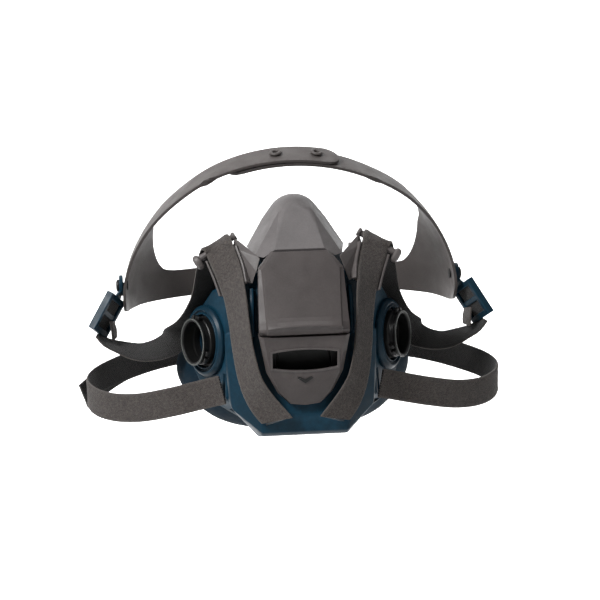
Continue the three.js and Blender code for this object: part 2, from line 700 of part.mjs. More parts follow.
const upperArm = cut(crownArm(-1, 28, LAYER), ...[SPARE_HOLE, ...SNAPS].map(snapHole));
const lowerArm = join(crownArm(1, -38, -LAYER), ...SNAPS.map(snapPost));
piece(
  'head_cradle',
  cut(join(backBand(), upperArm, lowerArm), diamond, mirrored(diamond), studThrough, mirrored(studThrough)),
  'cradle',
);

// The stud that a buckle turns on: head inside the lobe, cap outside the buckle's eye.
const stud = turned([[0, -4.2], [3.9, -4.2], [3.9, -2.9], [1.85, -2.9], [1.85, 0.4], [2.6, 0.4],
  [2.6, 4.6], [4.6, 4.6], [4.3, 6.4], [0, 7]], 20, false);
pair('cradle_stud', aimed(stud, [102.4 - 0.55, CRADLE.pivotY, CRADLE.pivotZ], [1, 0, 0]), 'black');

export default model;
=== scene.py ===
import math

import bmesh
import bpy
from mathutils import Matrix, Vector
from mathutils.geometry import delaunay_2d_cdt


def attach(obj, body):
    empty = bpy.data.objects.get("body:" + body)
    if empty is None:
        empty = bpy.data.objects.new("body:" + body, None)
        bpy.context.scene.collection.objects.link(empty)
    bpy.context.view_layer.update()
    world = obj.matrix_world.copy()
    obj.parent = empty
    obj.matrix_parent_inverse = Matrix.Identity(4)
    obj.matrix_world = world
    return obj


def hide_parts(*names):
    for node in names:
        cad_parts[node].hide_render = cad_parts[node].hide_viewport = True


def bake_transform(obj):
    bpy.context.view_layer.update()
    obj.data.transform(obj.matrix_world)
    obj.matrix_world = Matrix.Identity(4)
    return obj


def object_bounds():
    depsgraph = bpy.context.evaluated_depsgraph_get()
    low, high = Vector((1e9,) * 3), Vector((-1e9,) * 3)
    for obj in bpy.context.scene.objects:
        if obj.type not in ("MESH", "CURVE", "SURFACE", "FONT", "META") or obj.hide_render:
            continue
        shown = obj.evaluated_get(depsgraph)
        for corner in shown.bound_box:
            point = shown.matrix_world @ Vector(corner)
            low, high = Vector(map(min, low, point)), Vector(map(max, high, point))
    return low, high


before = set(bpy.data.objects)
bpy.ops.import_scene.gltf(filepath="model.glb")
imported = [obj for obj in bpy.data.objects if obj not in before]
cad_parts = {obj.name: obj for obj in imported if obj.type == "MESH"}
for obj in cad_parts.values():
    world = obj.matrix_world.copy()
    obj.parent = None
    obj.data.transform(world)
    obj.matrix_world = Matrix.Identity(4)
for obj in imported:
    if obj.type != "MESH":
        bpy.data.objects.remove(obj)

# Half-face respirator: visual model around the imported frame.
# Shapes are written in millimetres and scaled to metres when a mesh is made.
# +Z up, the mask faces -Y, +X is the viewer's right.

cad_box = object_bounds()

MM = 0.001
SIDES = (("right", 1), ("left", -1))

# ---------------------------------------------------------------- dimensions

PORT_CENTRE = Vector((53.2, -27.3, -10.5))
PORT_AXIS = Vector((0.883, -0.469, 0.05)).normalized()
EXHALE_CENTRE = Vector((0, -62, -17))
EXHALE_AXIS = Vector((0, -math.cos(math.radians(8)), -math.sin(math.radians(8))))
HINGE = Vector((0, -38.5, 42))
PIVOT = Vector((101, 22, 17))
X_AXIS = (1, 0, 0)

STRAP_WIDTH = 17
STRAP_THICKNESS = 1.6
TAIL_WIDTH = 15

BAR_INNER = Vector((36.5, -39, 51.6))
BAR_OUTER = Vector((55, -41, 40.4))
BAR_RADIUS = 1.9

# ------------------------------------------------------------------- stage

TARGET = Vector((1.7, -30, 12))
CAMERA_DISTANCE = 900
CAMERA_AZIMUTH = math.radians(-4.6)
CAMERA_ELEVATION = math.radians(9)
CAMERA_ROLL = math.radians(1.5)
MM_PER_PIXEL = 0.585  # at the target
SENSOR = 36
FRAME_PIXELS = 600
FLOOR_DROP = 0.24  # metres from the object's lowest point down to the floor
WHITE = (1, 1, 1, 1)


def new_object(name, data):
    made = bpy.data.objects.new(name, data)
    bpy.context.scene.collection.objects.link(made)
    return made


def set_inputs(node, values):
    for key, value in values.items():
        node.inputs[key].default_value = value


def make_camera():
    flat = math.cos(CAMERA_ELEVATION)
    back = Vector((
        math.sin(CAMERA_AZIMUTH) * flat,
        -math.cos(CAMERA_AZIMUTH) * flat,
        math.sin(CAMERA_ELEVATION),
    ))
    level = (-back).cross(Vector((0, 0, 1))).normalized()
    upright = level.cross(-back)
    right = level * math.cos(CAMERA_ROLL) - upright * math.sin(CAMERA_ROLL)
    up = upright * math.cos(CAMERA_ROLL) + level * math.sin(CAMERA_ROLL)
    data = bpy.data.cameras.new("camera")
    data.sensor_width = SENSOR
    data.lens = CAMERA_DISTANCE / MM_PER_PIXEL / FRAME_PIXELS * SENSOR
    camera = new_object("camera", data)
    place = (TARGET + back * CAMERA_DISTANCE) * MM
    turn = Matrix((right, up, back)).transposed().to_4x4()
    camera.matrix_world = Matrix.Translation(place) @ turn
    bpy.context.scene.camera = camera


def area_light(name, place, aim, size, power, spread=180):
    data = bpy.data.lights.new(name, "AREA")
    data.spread = math.radians(spread)
    data.shape = "DISK"
    data.size = size
    data.energy = power
    light = new_object(name, data)
    light.location = place
    light.rotation_euler = (Vector(aim) - Vector(place)).to_track_quat("-Z", "Y").to_euler()


def make_stage():
    """A pale floor that curves up behind the object into a backdrop."""
    floor_z = cad_box[0].z - FLOOR_DROP
    half, near, far, bend, tall, steps = 3.0, -2.5, 1.6, 0.8, 3.5, 12
    profile = [(near, floor_z), (far, floor_z)]
    for i in range(1, steps + 1):
        a = math.pi / 2 * i / steps
        profile.append((far + bend * math.sin(a), floor_z + bend * (1 - math.cos(a))))
    profile.append((far + bend, floor_z + tall))
    points = [(x, y, z) for y, z in profile for x in (-half, half)]
    faces = [(2 * i, 2 * i + 1, 2 * i + 3, 2 * i + 2) for i in range(len(profile) - 1)]
    mesh = bpy.data.meshes.new("floor")
    mesh.from_pydata(points, [], faces)
    mesh.shade_smooth()
    floor = new_object("floor", mesh)
    paint = bpy.data.materials.new("floor_paint")
    paint.use_nodes = True
    shader = paint.node_tree.nodes["Principled BSDF"]
    set_inputs(shader, {"Base Color": (0.9, 0.9, 0.9, 1), "Roughness": 0.9, "Emission Color": WHITE})
    # The floor glows behind the object and stays dim below it, so that the undersides are dark.
    place = paint.node_tree.nodes.new("ShaderNodeTexCoord")
    split = paint.node_tree.nodes.new("ShaderNodeSeparateXYZ")
    glow = paint.node_tree.nodes.new("ShaderNodeMapRange")
    set_inputs(glow, {"From Min": 0.25, "From Max": 0.5, "To Min": 0.12, "To Max": 0.95})
    paint.node_tree.links.new(place.outputs["Object"], split.inputs[0])
    paint.node_tree.links.new(split.outputs["Y"], glow.inputs["Value"])
    paint.node_tree.links.new(glow.outputs[0], shader.inputs["Emission Strength"])
    mesh.materials.append(paint)


def make_lights():
    world = bpy.data.worlds.new("studio")
    world.use_nodes = True
    sky = world.node_tree.nodes["Background"]
    set_inputs(sky, {"Color": WHITE, "Strength": 0.14})
    bpy.context.scene.world = world
    aim = (0, -0.03, 0.01)
    area_light("key", (-0.85, -0.7, 0.95), aim, 0.45, 1.55, 50)
    area_light("fill", (0.9, -0.8, 0.6), aim, 0.7, 0.06, 60)
    area_light("top", (0.05, 0.25, 1.1), aim, 0.6, 2.5)
    area_light("back", (0.1, 1.2, 0.8), (0, 1.8, 0), 1.2, 18)
    bpy.context.scene.view_settings.view_transform = "Standard"


# ------------------------------------------------------------------ materials


def linear(r, g, b):
    """An sRGB colour of 0 to 255 as linear light."""
    def one(c):
        c /= 255
        return c / 12.92 if c <= 0.04045 else ((c + 0.055) / 1.055) ** 2.4
    return (one(r), one(g), one(b), 1)


def scaled(colour, factor):
    return tuple(min(1, c * factor) for c in colour[:3]) + (1,)


class Nodes:
    """Short names for building one material's nodes."""

    def __init__(self, name, roughness):
        self.material = bpy.data.materials.new(name)
        self.material.use_nodes = True
        self.tree = self.material.node_tree
        self.shader = self.tree.nodes["Principled BSDF"]
        self.shader.inputs["Roughness"].default_value = roughness

    def add(self, kind, links=(), **values):
        node = self.tree.nodes.new("ShaderNode" + kind)
        for key, value in values.items():
            if key in node.inputs:
                node.inputs[key].default_value = value
            else:
                setattr(node, key, value)
        for socket, source in links:
            self.tree.links.new(source, node.inputs[socket])
        return node

    def give(self, socket, value):
        """Links a socket to another, or sets it to a constant."""
        if isinstance(value, bpy.types.NodeSocket):
            self.tree.links.new(value, socket)
        else:
            socket.default_value = value

    def to_shader(self, socket, source):
        self.tree.links.new(source, self.shader.inputs[socket])

    def place(self):
        return self.add("TexCoord").outputs["Object"]

    def noise(self, vector, scale, detail=3.0, roughness=0.55):
        values = {"Scale": scale, "Detail": detail, "Roughness": roughness}
        return self.add("TexNoise", [("Vector", vector)], **values).outputs["Fac"]

    def ramp(self, source, stops):
        node = self.add("ValToRGB", [("Fac", source)])
        elements = node.color_ramp.elements
        while len(elements) < len(stops):
            elements.new(0.5)
        for element, (position, colour) in zip(elements, stops):
            element.position = position
            element.color = colour
        return node.outputs["Color"]

    def mix(self, factor, first, second, blend="MIX"):
        node = self.add("Mix", data_type="RGBA", blend_type=blend)
        for index, value in ((0, factor), (6, first), (7, second)):
            self.give(node.inputs[index], value)
        return node.outputs[2]

    def math(self, operation, first, second=0.0, clamp=False):
        node = self.add("Math", operation=operation, use_clamp=clamp)
        for index, value in enumerate((first, second)):
            self.give(node.inputs[index], value)
        return node.outputs[0]

    def range(self, source, low, high, to_low, to_high):
        node = self.add("MapRange", [("Value", source)])
        set_inputs(node, {"From Min": low, "From Max": high, "To Min": to_low, "To Max": to_high})
        return node.outputs[0]

    def bump(self, height, distance, strength=1.0, before=None):
        node = self.add("Bump", [("Height", height)], Distance=distance, Strength=strength)
        if before is not None:
            self.tree.links.new(before, node.inputs["Normal"])
        return node.outputs["Normal"]


def moulded(name, colour, roughness, grain=0.00006, grain_scale=2600, wear=1.5, mottle=0.12, specular=0.5):
    """Moulded plastic or rubber: soft mottling, fine texture and rubbed edges."""
    n = Nodes(name, roughness)
    place = n.place()
    cloud = n.noise(place, 55, 4)
    body = n.ramp(cloud, [(0.3, scaled(colour, 1 - mottle)), (0.7, scaled(colour, 1 + mottle))])
    fleck = n.noise(place, grain_scale * 0.5, 2, 0.7)
    speck = n.ramp(fleck, [(0.35, (0.86, 0.86, 0.86, 1)), (0.7, WHITE)])
    body = n.mix(1.0, body, speck, "MULTIPLY")
    rubbed = n.add("Attribute", attribute_name="edge").outputs["Fac"]
    scuff = n.range(n.noise(place, 260, 5, 0.7), 0.35, 0.65, 0.25, 1.0)
    body = n.mix(n.math("MULTIPLY", rubbed, scuff, True), body, scaled(colour, wear))
    n.to_shader("Base Color", body)
    smear = n.noise(place, 120, 5, 0.6)
    n.to_shader("Roughness", n.range(smear, 0.3, 0.7, roughness - 0.08, roughness + 0.1))
    fine = n.bump(n.noise(place, grain_scale, 3, 0.6), grain, 1.0)
    n.to_shader("Normal", n.bump(n.noise(place, 140, 3), 0.00015, 0.35, fine))
    n.shader.inputs["Specular IOR Level"].default_value = specular
    return n.material


def woven(name, light, dark, edge_light):
    """Elastic webbing: staggered loops, blotches, a plainer selvedge and a rough surface.

    The weave layer's first value runs along the strap and its second across it, in millimetres.
    """
    n = Nodes(name, 0.9)
    uv = n.add("UVMap", uv_map="weave").outputs["UV"]
    place = n.place()
    loops = n.add(
        "TexBrick", [("Vector", uv)], offset=0.5, Scale=1.0,
        Color1=light, Color2=dark, Mortar=scaled(dark, 0.42),
    )
    set_inputs(loops, {"Mortar Size": 0.16, "Mortar Smooth": 1.0, "Brick Width": 0.95, "Row Height": 0.75})
    stains = n.noise(place, 420, 4, 0.75)
    blotch = n.ramp(stains, [(0.32, (0.74, 0.73, 0.72, 1)), (0.68, (1.12, 1.1, 1.09, 1))])
    body = n.mix(1.0, loops.outputs["Color"], blotch, "MULTIPLY")
    warm = n.ramp(n.noise(place, 900, 2, 0.8), [(0.45, WHITE), (0.75, (1.06, 1.0, 0.96, 1))])
    body = n.mix(1.0, body, warm, "MULTIPLY")
    across = n.add("SeparateXYZ", [("Vector", uv)]).outputs["Y"]
    from_middle = n.math("ABSOLUTE", n.math("SUBTRACT", across, STRAP_WIDTH / 2))
    selvedge = n.range(from_middle, STRAP_WIDTH / 2 - 1.5, STRAP_WIDTH / 2 - 0.7, 0.0, 0.55)
    n.to_shader("Base Color", n.mix(selvedge, body, edge_light))
    weave = n.bump(loops.outputs["Fac"], 0.00028, 1.0)
    weave.node.invert = True
    n.to_shader("Normal", n.bump(n.noise(place, 1800, 3, 0.8), 0.00025, 0.6, weave))
    set_inputs(n.shader, {"Sheen Weight": 0.25, "Sheen Roughness": 0.6, "Specular IOR Level": 0.2})
    return n.material


TEAL = linear(12, 48, 65)
LOOKS = {
    "silicone": moulded(
        "silicone_teal", linear(11, 38, 53), 0.65, grain=0.00003, wear=1.15, mottle=0.1, specular=0.12,
    ),
    "frame": moulded("plastic_teal", TEAL, 0.42, grain=0.00004, wear=1.7, specular=0.3),
    "cone": moulded("plastic_light_grey", linear(114, 110, 110), 0.5, wear=1.25),
    "cover": moulded("plastic_warm_grey", linear(85, 79, 78), 0.5, wear=1.35),
    "wing": moulded("plastic_wing_grey", linear(94, 89, 88), 0.46, wear=1.35),
    "cradle": moulded("plastic_cradle_grey", linear(90, 84, 82), 0.5, wear=0.62, mottle=0.08),
    "black": moulded("plastic_black", linear(22, 22, 22), 0.38, wear=2.6),
    # Light grey for the bayonet's lip: a painted highlight.
    "rim": moulded("plastic_painted_highlight_rim", linear(92, 95, 92), 0.35, wear=1.6),
    "flap": moulded("rubber_cream", linear(150, 142, 122), 0.45, wear=1.1),
    "webbing": woven("webbing_grey", linear(108, 101, 97), linear(76, 70, 67), linear(98, 92, 88)),
    # Near-black webbing laid on the straps' inner faces: painted shade.
    "webbing_shaded": woven("webbing_painted_shade", linear(30, 28, 28), linear(18, 17, 17), linear(40, 38, 37)),
}

# ---------------------------------------------------------------- mesh helpers


def mesh_object(name, points, faces):
    mesh = bpy.data.meshes.new(name)
    mesh.from_pydata([Vector(p) * MM for p in points], [], faces)
    mesh.validate()
    made = new_object(name, mesh)
    facing_out(made)
    return made


def facing_out(piece):
    bm = bmesh.new()
    bm.from_mesh(piece.data)
    bmesh.ops.recalc_face_normals(bm, faces=bm.faces)
    bm.to_mesh(piece.data)
    bm.free()


def freeze(piece):
    """Turns the modifiers into plain mesh."""
    graph = bpy.context.evaluated_depsgraph_get()
    mesh = bpy.data.meshes.new_from_object(
        piece.evaluated_get(graph), preserve_all_data_layers=True, depsgraph=graph,
    )
    piece.modifiers.clear()
    old, piece.data = piece.data, mesh
    bpy.data.meshes.remove(old)
    return piece


def modified(piece, kind, **values):
    modifier = piece.modifiers.new(kind.lower(), kind)
    for key, value in values.items():
        setattr(modifier, key, value)
    return freeze(piece)


def combined(piece, operation, *others):
    for other in others:
        modified(piece, "BOOLEAN", operation=operation, solver="EXACT", object=other)
        bpy.data.objects.remove(other)
    return piece


def cut(piece, *tools):
    return combined(piece, "DIFFERENCE", *tools)


def joined(piece, *others):
    return combined(piece, "UNION", *others)


def rounded(piece, width, angle=22, segments=3):
    modified(
        piece, "BEVEL", width=width * MM, segments=segments, limit_method="ANGLE",
        angle_limit=math.radians(angle), profile=0.6, use_clamp_overlap=True,
    )
    return piece


def merged(piece, *others):
    """Joins pieces that don't need a boolean into one object."""
    bm = bmesh.new()
    for part in (piece, *others):
        bm.from_mesh(part.data)
    bm.to_mesh(piece.data)
    bm.free()
    for part in others:
        bpy.data.objects.remove(part)
    return piece


def both_sides(points):
    return list(points) + [(-x, y, z) for x, y, z in points if x]


def hull(name, points):
    bm = bmesh.new()
    for p in points:
        bm.verts.new(Vector(p) * MM)
    made = bmesh.ops.convex_hull(bm, input=bm.verts)
    left_over = made["geom_interior"] + made["geom_unused"]
    loose = {g for g in left_over if isinstance(g, bmesh.types.BMVert)}
    bmesh.ops.delete(bm, geom=list(loose), context="VERTS")
    bmesh.ops.dissolve_limit(bm, angle_limit=math.radians(1.5), verts=bm.verts, edges=bm.edges)
    mesh = bpy.data.meshes.new(name)
    bm.to_mesh(mesh)
    bm.free()
    piece = new_object(name, mesh)
    return piece


def block(name, size, middle):
    x, y, z = (s / 2 for s in size)
    corners = [(a * x, b * y, c * z) for a in (-1, 1) for b in (-1, 1) for c in (-1, 1)]
    return hull(name, [Vector(c) + Vector(middle) for c in corners])


def turned(name, profile, sides=72, closed=True):
    """A solid of revolution about +Z from (radius, height) pairs; closed joins last to first."""
    points, faces = [], []
    count = len(profile)
    for i in range(sides):
        a = 2 * math.pi * i / sides
        points += [(r * math.cos(a), r * math.sin(a), z) for r, z in profile]
    for i in range(sides):
        j = (i + 1) % sides
        for k in range(count if closed else count - 1):
            m = (k + 1) % count
            faces.append((i * count + k, j * count + k, j * count + m, i * count + m))
    piece = mesh_object(name, points, faces)
    modified(piece, "WELD", merge_threshold=1e-6)
    facing_out(piece)
    return piece


def rod(radius, low, high, sides=72):
    """A plain round bar about +Z."""
    return turned("rod", [(0, low), (radius, low), (radius, high), (0, high)], sides, closed=False)


def tube_faces(starts, count):
    """The quads between rings of count points, given the number of each ring's first point."""
    starts = list(starts)
    return [
        (here + i, here + (i + 1) % count, there + (i + 1) % count, there + i)
        for here, there in zip(starts, starts[1:]) for i in range(count)
    ]


def to_side(point, sign):
    return Vector((sign * point[0], point[1], point[2]))


def smooth_profile(corners, radius, steps=3):
    """A closed outline with each corner rounded by up to a radius."""
    result = []
    count = len(corners)
    for i, corner in enumerate(corners):
        here = Vector(corner)
        before = Vector(corners[i - 1]) - here
        after = Vector(corners[(i + 1) % count]) - here
        reach = min(radius, before.length * 0.45, after.length * 0.45)
        start = here + before.normalized() * reach
        end = here + after.normalized() * reach
        for k in range(steps + 1):
            f = k / steps
            result.append(tuple(start.lerp(here, f).lerp(here.lerp(end, f), f)))
    return result


def aim(piece, centre, axis):
    """Turns a piece made about +Z to an axis and moves it to a centre."""
    turn = Vector((0, 0, 1)).rotation_difference(Vector(axis)).to_matrix().to_4x4()
    piece.data.transform(Matrix.Translation(Vector(centre) * MM) @ turn)
    return piece


def mirror(piece, name):
    """A copy of the piece on the other side of X = 0."""
    mesh = piece.data.copy()
    mesh.transform(Matrix.Scale(-1, 4, (1, 0, 0)))
    mesh.flip_normals()
    copy = new_object(name, mesh)
    return copy


def mark_edges(mesh):
    """Stores how far each point lies on a rounded outer edge, for the worn paint of the materials."""
    bm = bmesh.new()
    bm.from_mesh(mesh)
    values = []
    for point in bm.verts:
        turn = [e.calc_face_angle_signed(0) for e in point.link_edges if len(e.link_faces) == 2]
        sharpest = max(turn, default=0)
        values.append(min(1, max(0, (sharpest - 0.12) / 0.35)))
    bm.free()
    attribute = mesh.attributes.get("edge") or mesh.attributes.new("edge", "FLOAT", "POINT")
    attribute.data.foreach_set("value", values)


def soften(mesh, sharp_angle):
    mesh.shade_smooth()
    bm = bmesh.new()
    bm.from_mesh(mesh)
    for edge in bm.edges:
        edge.smooth = len(edge.link_faces) != 2 or edge.calc_face_angle(0) < sharp_angle
    bm.to_mesh(mesh)
    bm.free()


def placed(piece, look, body, *nodes, sharp=38, worn=True, weighted=True):
    """Finishes a piece: shading, worn edges, material, body and the CAD nodes that it stands for."""
    soften(piece.data, math.radians(sharp))
    if worn:
        mark_edges(piece.data)
    if weighted:
        modified(piece, "WEIGHTED_NORMAL", keep_sharp=True)
    piece.data.materials.clear()
    piece.data.materials.append(LOOKS[look])
    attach(piece, body)
    if nodes:
        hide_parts(*nodes)
    return piece


def placed_pair(piece, stem, look, body, *nodes, **values):
    """The right piece and its mirror image; nodes are given without their side."""
    other = mirror(piece, stem + "_left")
    piece.name = stem + "_right"
    placed(piece, look, body, *[node + "_right" for node in nodes], **values)
    placed(other, look, body, *[node + "_left" for node in nodes], **values)


def spline(points, closed, samples):
    """A centripetal Catmull-Rom curve through the points, at evenly spaced parameters."""
    points = [Vector(p) for p in points]
    count = len(points)
    spans = count if closed else count - 1

    def at(i):
        if closed:
            return points[i % count]
        if i < 0:
            return points[0] * 2 - points[1]
        if i >= count:
            return points[-1] * 2 - points[-2]
        return points[i]

    result = []
    for k in range(samples):
        u = spans * k / (samples if closed else samples - 1)
        i = min(int(u), spans - 1)
        f = u - i
        a, b, c, d = (at(i + j) for j in (-1, 0, 1, 2))
        t0, t1, t2 = (max((q - p).length, 1e-6) ** 0.5 for p, q in ((a, b), (b, c), (c, d)))
        m1 = ((b - a) / t0 - (c - a) / (t0 + t1) + (c - b) / t1) * t1
        m2 = ((c - b) / t1 - (d - b) / (t1 + t2) + (d - c) / t2) * t1
        result.append(
            b * (2 * f**3 - 3 * f**2 + 1) + m1 * (f**3 - 2 * f**2 + f)
            + c * (3 * f**2 - 2 * f**3) + m2 * (f**3 - f**2)
        )
    return result


def frames(stations, spacing):
    """(point, across, out, length so far) every few millimetres along stations of (point, normal)."""
    path = spline([p for p, _ in stations], False, 24 * len(stations))
    lengths = [0.0]
    for a, b in zip(path, path[1:]):
        lengths.append(lengths[-1] + (b - a).length)
    count = max(2, round(lengths[-1] / spacing))
    result = []
    k = 0
    for i in range(count + 1):
        goal = lengths[-1] * i / count
        while k < len(path) - 2 and lengths[k + 1] < goal:
            k += 1
        f = (goal - lengths[k]) / max(lengths[k + 1] - lengths[k], 1e-9)
        point = path[k].lerp(path[k + 1], f)
        tangent = (path[min(k + 2, len(path) - 1)] - path[max(k - 1, 0)]).normalized()
        u = (k + f) / (len(path) - 1) * (len(stations) - 1)
        j = min(int(u), len(stations) - 2)
        normal = Vector(stations[j][1]).lerp(Vector(stations[j + 1][1]), u - j).normalized()
        across = tangent.cross(normal).normalized()
        result.append((point, across, across.cross(tangent).normalized(), goal))
    return result


def swept(name, stations, section, spacing=1.5):
    """A closed section of (across, out) pairs carried along stations."""
    rings = frames(stations, spacing)
    count = len(section)
    points = [p + a * x + o * y for p, a, o, _ in rings for x, y in section]
    faces = tube_faces(range(0, len(points), count), count)
    for start in (0, len(points) - count):
        faces.append(tuple(range(start, start + count)))
    return mesh_object(name, points, faces)


# -------------------------------------------------------------------- webbing

ACROSS_STEPS = 14
SLANT_FADE = 16  # a slanted end turns square over this length


def webbing(name, stations, width=STRAP_WIDTH, spacing=1.0, skew=0.0):
    """A strap with raised selvedges, a weave layer and an inner face in near-black painted shade.

    skew slants the first end, by millimetres along for each millimetre across.
    """
    rings = frames(stations, spacing)
    half, thick = width / 2, STRAP_THICKNESS / 2
    outer = []
    for i in range(ACROSS_STEPS + 1):
        a = -half + width * i / ACROSS_STEPS
        near_edge = half - abs(a)
        if near_edge < 0.3:
            rise = thick * 0.45
        elif near_edge < 1.6:
            rise = thick * 1.05
        else:
            rise = thick * 0.86
        outer.append((a, rise))
    section = outer + [(a, -o) for a, o in reversed(outer)]
    count = len(section)
    points, values = [], []
    for p, a, o, along in rings:
        for x, y in section:
            ripple = 0.05 * math.sin(along * 1.7 + x * 0.9)
            slant = skew * x * max(0, 1 - along / SLANT_FADE)
            points.append((p + a * x + o * (y + ripple) + o.cross(a) * slant) * MM)
            values.append((along + slant, x + half))
    faces = tube_faces(range(0, len(points), count), count)
    # The inner face takes the near-black webbing as painted shade.
    inner = [ACROSS_STEPS < i % count < count - 1 for i in range(len(faces))]
    for start in (0, len(points) - count):
        end = start + count - 1
        faces += [(start + k, start + k + 1, end - 1 - k, end - k) for k in range(ACROSS_STEPS)]
    mesh = bpy.data.meshes.new(name)
    mesh.from_pydata(points, [], faces)
    strap = new_object(name, mesh)
    layer = mesh.uv_layers.new(name="weave")
    for loop in mesh.loops:
        layer.data[loop.index].uv = values[loop.vertex_index]
    for look in ("webbing", "webbing_shaded"):
        mesh.materials.append(LOOKS[look])
    for face, dark in zip(mesh.polygons, inner):
        face.material_index = int(dark)
    facing_out(strap)
    soften(mesh, math.radians(60))
    return strap


# How far the front strap's end at the chin slants, in millimetres along for each millimetre across.
CHIN_SLANT = 0.46


def turned_over(stations):
    return [(p, (-n[0], -n[1], -n[2])) for p, n in stations]


def on_left(stations):
    return [((-p[0], p[1], p[2]), (-n[0], n[1], n[2])) for p, n in stations]


# Over the latch's bar, then down to the buckle.
OVER_BAR = [
    ((44.2, -45.6, 43.8), (0.46, -0.72, 0.5)),
    ((45.3, -43.3, 47.2), (0.5, -0.5, 0.7)),
    ((46.9, -40, 48.7), (0.5, 0, 0.86)),
    ((47.9, -37, 47.3), (0.5, 0.55, 0.7)),
]
FRONT_RUN = [
    ((16.5, -72.2, -49.5), (0.34, -0.94, -0.1)),
    ((24.7, -71, -38.9), (0.48, -0.88, 0)),
    ((30.2, -69.4, -27.8), (0.66, -0.75, 0)),
    ((33.8, -66.4, -11.1), (0.74, -0.67, 0)),
    ((35.6, -62.5, 5.4), (0.76, -0.65, 0)),
    ((37.6, -57.5, 21.9), (0.7, -0.71, 0.1)),
    ((40.4, -51.5, 33.5), (0.5, -0.82, 0.25)),
    *OVER_BAR,
]
REAR_RUN = [
    ((47.9, -37, 47.3), (0.5, 0.55, 0.7)),
    ((48.8, -33.5, 43), (0.45, 0.75, 0.5)),
    ((50.8, -26.5, 31), (0.4, 0.85, 0.3)),
    ((55.4, -16, 14), (0.6, 0.75, 0.3)),
    ((64.5, -5, -4), (0.5, 0.8, 0.1)),
    ((78, 3, -18), (0.1, 0.7, -0.6)),
    ((93, 7.5, -22), (0.1, 0.5, -0.85)),
    ((106, 10.4, -19), (0.25, 0.25, -0.9)),
    ((114, 11.4, -15.8), (0.4, 0.1, -0.85)),
    ((119.2, 11.8, -11), (0.62, 0, -0.65)),
]
TAIL = [
    ((110, 15.6, -4), (-0.99, -0.12, -0.1)),
    ((109, 14.6, -9), (-0.99, -0.12, 0)),
    ((108.8, 14.4, -14.6), (-1, -0.1, 0.05)),
]
NECK_RUN = [
    (46, -48, -35.8), (51, -45.6, -37.2), (60, -42.4, -39.8), (76.2, -38, -44), (94.9, -29, -48.4),
    (110.5, -18.5, -49.6), (121.6, -5.5, -48.2), (126, 8.5, -45.4), (121, 24, -42.1),
    (106.2, 36, -37.5), (89.4, 44.5, -33.6), (70.8, 51.5, -31), (48, 57.5, -30), (23.4, 61.6, -30),
]
NECK_CENTRE = Vector((0, 5, -40))
NECK_TAIL = [
    (-24, 64.2, -30), (-48, 60.6, -30), (-70.8, 54.8, -31), (-89.4, 48, -33.8), (-106.2, 39.8, -38.4),
    (-119.6, 30.4, -45), (-129.6, 20.4, -51),
]


def upright_stations(points):
    """Adds to each point the level normal that faces away from the neck."""
    result = []
    for i, p in enumerate(points):
        before = Vector(points[max(i - 1, 0)])
        after = Vector(points[min(i + 1, len(points) - 1)])
        along = after - before
        result.append((p, (along.y, -along.x, 0)))
    middle, normal = result[len(result) // 2]
    faces_neck = (Vector(middle) - NECK_CENTRE).dot(Vector(normal)) < 0
    return turned_over(result) if faces_neck else result


def make_harness():
    for side, sign in SIDES:
        def turn(stations):
            return stations if sign > 0 else on_left(stations)
        front = webbing(f"front_webbing_{side}", turn(FRONT_RUN), skew=CHIN_SLANT * sign)
        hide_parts(f"upper_strap_front_{side}")
        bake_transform(front)
        rear = webbing(f"rear_webbing_{side}", turn(REAR_RUN))
        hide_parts(f"upper_strap_rear_{side}")
        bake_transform(rear)
        tail = webbing(f"rear_webbing_end_{side}", turn(TAIL), TAIL_WIDTH)
        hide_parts(f"upper_strap_tail_{side}")
        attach(tail, "facepiece")
        path = NECK_RUN if sign > 0 else [(-x, y, z) for x, y, z in NECK_RUN]
        neck = webbing(f"neck_webbing_{side}", upright_stations(path))
        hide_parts(f"neck_strap_{side}")
        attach(neck, "facepiece")
    spare = webbing("neck_webbing_end", upright_stations(NECK_TAIL))
    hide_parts("neck_strap_tail")
    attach(spare, "facepiece")


# ------------------------------------------------------------------ face seal

SEAL_WALL = 2.2
SEAL_FRONT = [(0, -50, 33), (14, -50, 31), (23, -49, 25), (29, -46, 13), (34, -43, -8),
              (35, -42, -32), (26, -46, -47), (0, -52, -50)]
SEAL_CHEEK = [(0, -33, 58), (12, -35, 49), (22, -34, 38), (37, -28, 19), (49, -22, -8),
              (49, -20, -34), (37, -25, -53), (0, -31, -59)]
SEAL_RIM = [(0, -14, 69), (12.5, -15, 57), (22, -13, 44), (41, -3, 28), (63, 9, -6),
            (73, 14, -38), (50, 4, -65), (0, -10, -70)]
SEAL_LIP = [(0, -16, 53), (7, -16, 45), (13, -12, 36), (26, -4, 18), (45, 7, -9),
            (53, 11, -34), (34, 3, -50), (0, -10, -54)]
SEAL_POINTS = 56


def pear_ring(half):
    other = [(-x, y, z) for x, y, z in reversed(half[1:-1])]
    return spline(half + other, True, SEAL_POINTS)


def pulled_in(ring, distance, dy):
    middle = sum(ring, Vector()) / len(ring)
    result = []
    for p in ring:
        inward = Vector((middle.x - p.x, 0, middle.z - p.z)).normalized()
        result.append(p + inward * distance + Vector((0, dy, 0)))
    return result


